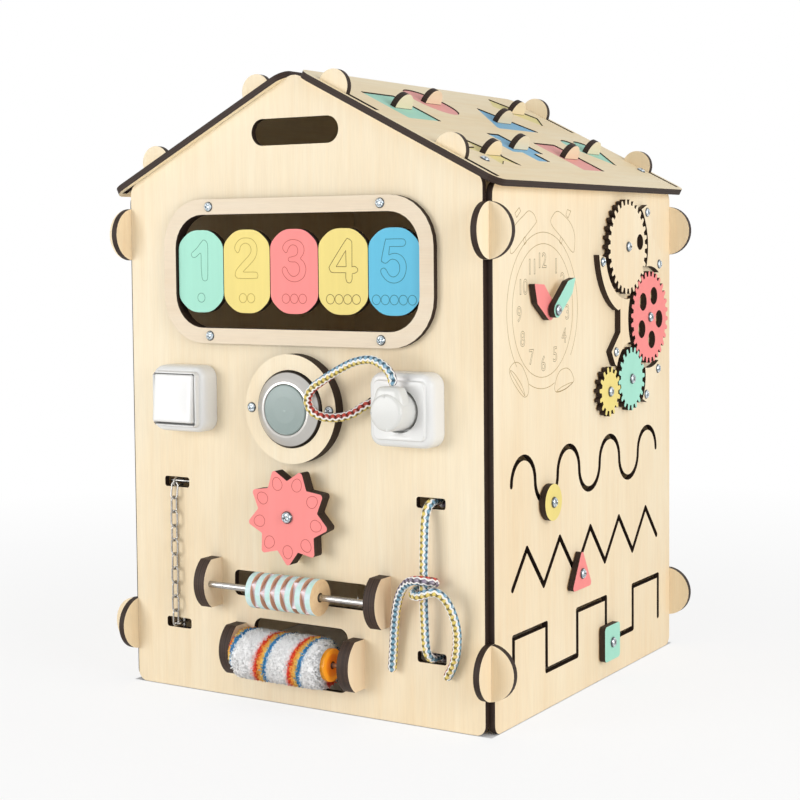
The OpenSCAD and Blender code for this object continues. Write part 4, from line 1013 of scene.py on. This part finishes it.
# The rocker's face is a little hollow
rocker_rings = [(-2.6, 44, 43.3, 1), (9.8, 45, 44.3, 1.4), (11, 44.6, 43.9, 1.8),
                (11.7, 43.6, 42.9, 2), (11.9, 41.6, 40.9, 2), (11.55, 32, 31.4, 2),
                (11.2, 20, 19.6, 2), (11.05, 8, 7.8, 2)]
rocker = mesh_piece("rocker_cap", *ringed(rocker_rings, on_rocker, (-2.6, 11)), white_gloss,
                    "rocker", "white_plastic")
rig.replaces(rocker, "switch_rocker")
socket = moulding("socket_shell", socket_at, wall_box(64.4, 23, [
    (23, 39.4, 39.4, 19.7), (22.6, 38.4, 38.4, 19.2), (21.8, 38, 38, 19), (11.6, 38, 38, 19),
    (11, 36.8, 36.8, 18.4)]), white_gloss, "house", "white_plastic")
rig.replaces(socket, "socket_box")
# Dark discs on the well's floor where the pins go in: painted shade standing for the pin holes
pin_hole_shade = plastic("pin_hole_shade", (52, 50, 48), 0.5)
for side, at in pin_places.items():
    moulding("socket_hole_shade_" + side, at, [(10.9, 6, 6, 3), (11.12, 6, 6, 3),
                                            (11.16, 5.4, 5.4, 2.7)], pin_hole_shade, "house",
             "white_plastic")
# The collar is silver up to its rim, whose edge is dark brown: painted shade of the gap against the ring
rim_inside, rim_outside = 0.0326, 0.0331
collar, shader, add = shading("silver_lacquer", 0.32, 0.5, 0.85)
low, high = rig.box("lamp_housing")
off_axis = add("Mapping", add("TexCoord", out=3),
               (-(low.x + high.x)/2, 0, -(low.z + high.z)/2), None, (1, 0, 1))
ring_gap_shade = add("MapRange", add("VectorMath", off_axis, operation="LENGTH", out=1),
                 rim_inside, rim_outside, 0.0, 1.0)
put(shader.inputs["Base Color"],
    blend_of(add, ring_gap_shade, linear(196, 193, 188), linear(44, 36, 30)))
finish("lamp_housing", collar)
finish("lamp_button", plastic("button_grey", (142, 158, 154), 0.3))

# ---- Spool ---------------------------------------------------------------
# Round and square plywood plates glued in turn into one stack on the steel rod. The round
# plates' rims are painted mint and the square ones' edges pale pink; the faces stay bare.
low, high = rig.box("spool")
pair_pitch, round_plate = 0.0108, 0.0057
spool_wood, shader, add = shading("spool_wood", 0.6, 0.3)
texture = add("TexCoord", out=3)
split = add("SeparateXYZ", texture)
place = add("MODULO", add("SUBTRACT", split, low.x), pair_pitch)
square = add("GREATER_THAN", place, round_plate)
smears = add("TexNoise", texture, None, 170.0, 2.0, 0.6)
mint_coat = blend_of(add, add("MapRange", smears, 0.35, 0.65, 0.0, 1.0), linear(192, 230, 220),
                     linear(212, 234, 238))
pink_coat = blend_of(add, add("MapRange", smears, 0.35, 0.65, 0.0, 1.0), linear(252, 230, 234),
                     linear(236, 232, 244))
rim = blend_of(add, square, mint_coat, pink_coat)
facing = add("ABSOLUTE", add("SeparateXYZ", texture.node.outputs[1]))
plain = add("MapRange", facing, 0.55, 0.75, 0.0, 1.0)
# The plates' faces are a darker brown than the end face: painted shade on the faces that show only in the gaps between
# plates
end_face = add("GREATER_THAN", split, high.x - 0.0005)
bare = blend_of(add, end_face, linear(216, 176, 152), linear(232, 203, 160))
bare = blend_of(add, add("MapRange", smears, 0.3, 0.7, 0.0, 0.4), bare, linear(206, 166, 128))
# Painted shade of the bore: the end face goes dark brown round the hole
centre = add("Mapping", texture, tuple(-(low + high)/2), None, (0, 1, 1))
bore_shade = add("MapRange", add("VectorMath", centre, operation="LENGTH", out=1), 0.0040, 0.0046,
           1.0, 0.0)
bare = blend_of(add, bore_shade, bare, linear(46, 32, 26))
put(shader.inputs["Base Color"], blend_of(add, plain, rim, bare))
put(shader.inputs["Normal"], add("Bump", 0.2, 0.0004, None, smears))
finish("spool", spool_wood)

# ---- Paint roller --------------------------------------------------------
# A small paint roller: shaggy white pile with a red, orange and blue stripe woven round it
# in a helix, on a plastic tube that orange caps close and the thin rod carries.
roller_out, roller_up, pile_left, tube_radius = 18, 47.5, -57, 14.2
stripe_pitch, stripe_at = 36.5, -22


def pile_radius(x):
    """The pile's outer radius in millimetres x along it: pressed small in its first 6 mm."""
    return np.interp(x, [0, 1, 6, 6.5, 9, 94, 98, 100],
                     [16.6, 17.4, 17.4, 21.3, 23.3, 23.3, 21.3, 18])


def pile_points(x, a, r):
    """Points x along the pile's 100 mm, a round it from the front upwards, at the radius r."""
    return on_front(pile_left + x, roller_up + r*np.sin(a), roller_out + r*np.cos(a))


def stripe_phase(x, a):
    """0 to 1 from one stripe's left edge to the next: the helix moves a pitch in one turn."""
    shift = pile_left + x - stripe_at
    return (shift/np.where(shift < 0, stripe_pitch*1.15, stripe_pitch) - a/(2*np.pi)) % 1


# The cloth under the fibres: a tube with a slightly uneven outside, closed at both ends
chance = np.random.default_rng(11)
x, a = np.meshgrid(np.r_[0, 0.2, np.linspace(1, 99, 80), 99.8, 100], np.arange(96)/96*2*np.pi,
                   indexing="ij")
r = pile_radius(x) - 1.4 + 0.3*chance.standard_normal(x.shape)
r[0] = r[-1] = tube_radius + 0.05
x, a, r = (np.vstack([v, v[[-1, 0]]]) for v in (x, a, r))      # and back along the tube
r[-2:] = tube_radius
under = pile_points(x, a, r).reshape(-1, 3)
under_uv = stacked(stripe_phase(x, a), 0.0).reshape(-1, 2)
under_faces = quads(*x.shape, wrap_rows=True, wrap_columns=True)

# Each fibre is a three-sided blade of two bent stretches that narrows to its tip. It leaves
# the cloth at base, goes reach metres its own way, and bends back a little.
fibres, blade_points = 11500, 9
x = chance.uniform(0.3, 99.7, fibres)
a = chance.uniform(0, 2*np.pi, fibres)
root = pile_radius(x) - 2.2
lean = np.radians(chance.uniform(25, 72, fibres))[:, None]
to = chance.uniform(0, 2*np.pi, fibres)[:, None]
reach = (chance.uniform(2.0, 3.3, fibres)*np.where(x < 7, 0.5, 1)/1000)[:, None]
fan = (np.clip((x - 95)/5, 0, 1)*0.9)[:, None]      # the last fibres fan out over the end
base = pile_points(x, a, root)
around = unit(pile_points(x, a + 0.01, root) - base)
outward = unit(pile_points(x, a, root + 1) - base)
sideways = np.array([1.0, 0, 0])
way = unit(np.cos(lean)*outward + np.sin(lean)*np.cos(to)*around
           + (np.sin(lean)*np.sin(to) + fan)*sideways)
bend = 0.25*reach*(0.5*chance.standard_normal((fibres, 3)) - 0.3*outward)
spine = np.stack([base, base + 0.6*reach*way, base + reach*way + bend], 1)
flat_side = unit(np.cross(way, outward + 0.3*sideways))
turn = (np.arange(3)*2*np.pi/3)[:, None]
section = (np.cos(turn)*flat_side[:, None] + np.sin(turn)*np.cross(way, flat_side)[:, None])
thick = np.array([0.00056, 0.00052, 0.00022])[:, None, None]
blades = spine[:, :, None] + thick*section[:, None]
offset = (len(under) + blade_points*np.arange(fibres))[:, None, None]
blade_sides = (offset + quads(3, 3, wrap_columns=True)).reshape(-1, 4)
blade_ends = (offset + np.array([[0, 2, 1], [6, 7, 8]])).reshape(-1, 3)
ragged = 0.012*np.sin(1.9*x + 5*np.sin(9*a)) + 0.012*chance.standard_normal(fibres)
phase = (stripe_phase(x, a) + ragged) % 1
blade_uv = stacked(phase[:, None, None], [[0]*3, [0.6]*3, [1]*3]).reshape(-1, 2)

pile, shader, add = shading("pile", 0.9, 0.1)
split = add("SeparateXYZ", add("UVMap"))
stripes = [(0.0, (226, 62, 52)), (0.085, (232, 84, 48)), (0.105, (250, 160, 72)),
           (0.235, (246, 208, 110)), (0.25, (120, 172, 196)), (0.275, (58, 132, 186)),
           (0.345, (70, 138, 190)), (0.375, (236, 243, 246)), (0.45, (252, 252, 252)),
           (0.86, (252, 252, 252)), (0.95, (250, 236, 236)), (0.985, (240, 160, 150))]
ramp = ramp_of(add, add("MODULO", split, 1.0), stripes)
# Painted shade deep in the pile: the fibres darken a little towards their roots, and the cloth under them is as dark
# as the roots
put(shader.inputs["Base Color"], blend_of(add, 1.0, ramp, add(
    "MapRange", split.node.outputs[1], 0.0, 0.8, 0.97, 1.0), blend_type="MULTIPLY"))
roller_pile = mesh_piece("roller_fibres", np.vstack([under, blades.reshape(-1, 3)]),
                         [under_faces, blade_sides, blade_ends], pile, "roller", "roller_pile",
                         np.vstack([under_uv, blade_uv]))
# Light passes between the fibres, so they are shaded as the round pile they make up
round_pile = np.vstack([under, np.repeat(base, blade_points, axis=0)])
axis = on_front(0, roller_up, roller_out)
round_pile = unit((round_pile - axis)*(0, 1, 1))
round_pile = unit(round_pile + 0.25*chance.standard_normal(round_pile.shape))
roller_pile.data.normals_split_custom_set_from_vertices(round_pile.tolist())
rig.replaces(roller_pile, "roller_nap")
finish("roller_core", white_gloss)
cap, shader, add = shading("orange_cap", 0.33)
off_axis = add("Mapping", add("TexCoord", out=3), tuple(-axis), None, (0, 1, 1))
share = add("MapRange", add("VectorMath", off_axis, operation="LENGTH", out=1), 0.0, 0.016,
            0.0, 1.0)
put(shader.inputs["Base Color"], ramp_of(add, share, [
    (0.0, (60, 30, 10)), (0.20, (60, 30, 10)), (0.23, (240, 128, 14)), (0.60, (246, 140, 18)),
    (0.66, (255, 166, 34))]))
finish("roller_caps", cap)

scene_box = [list(c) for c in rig.bounds()]
with open("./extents.json", "w") as f:
    json.dump({"cad": cad_box, "visual": scene_box}, f)
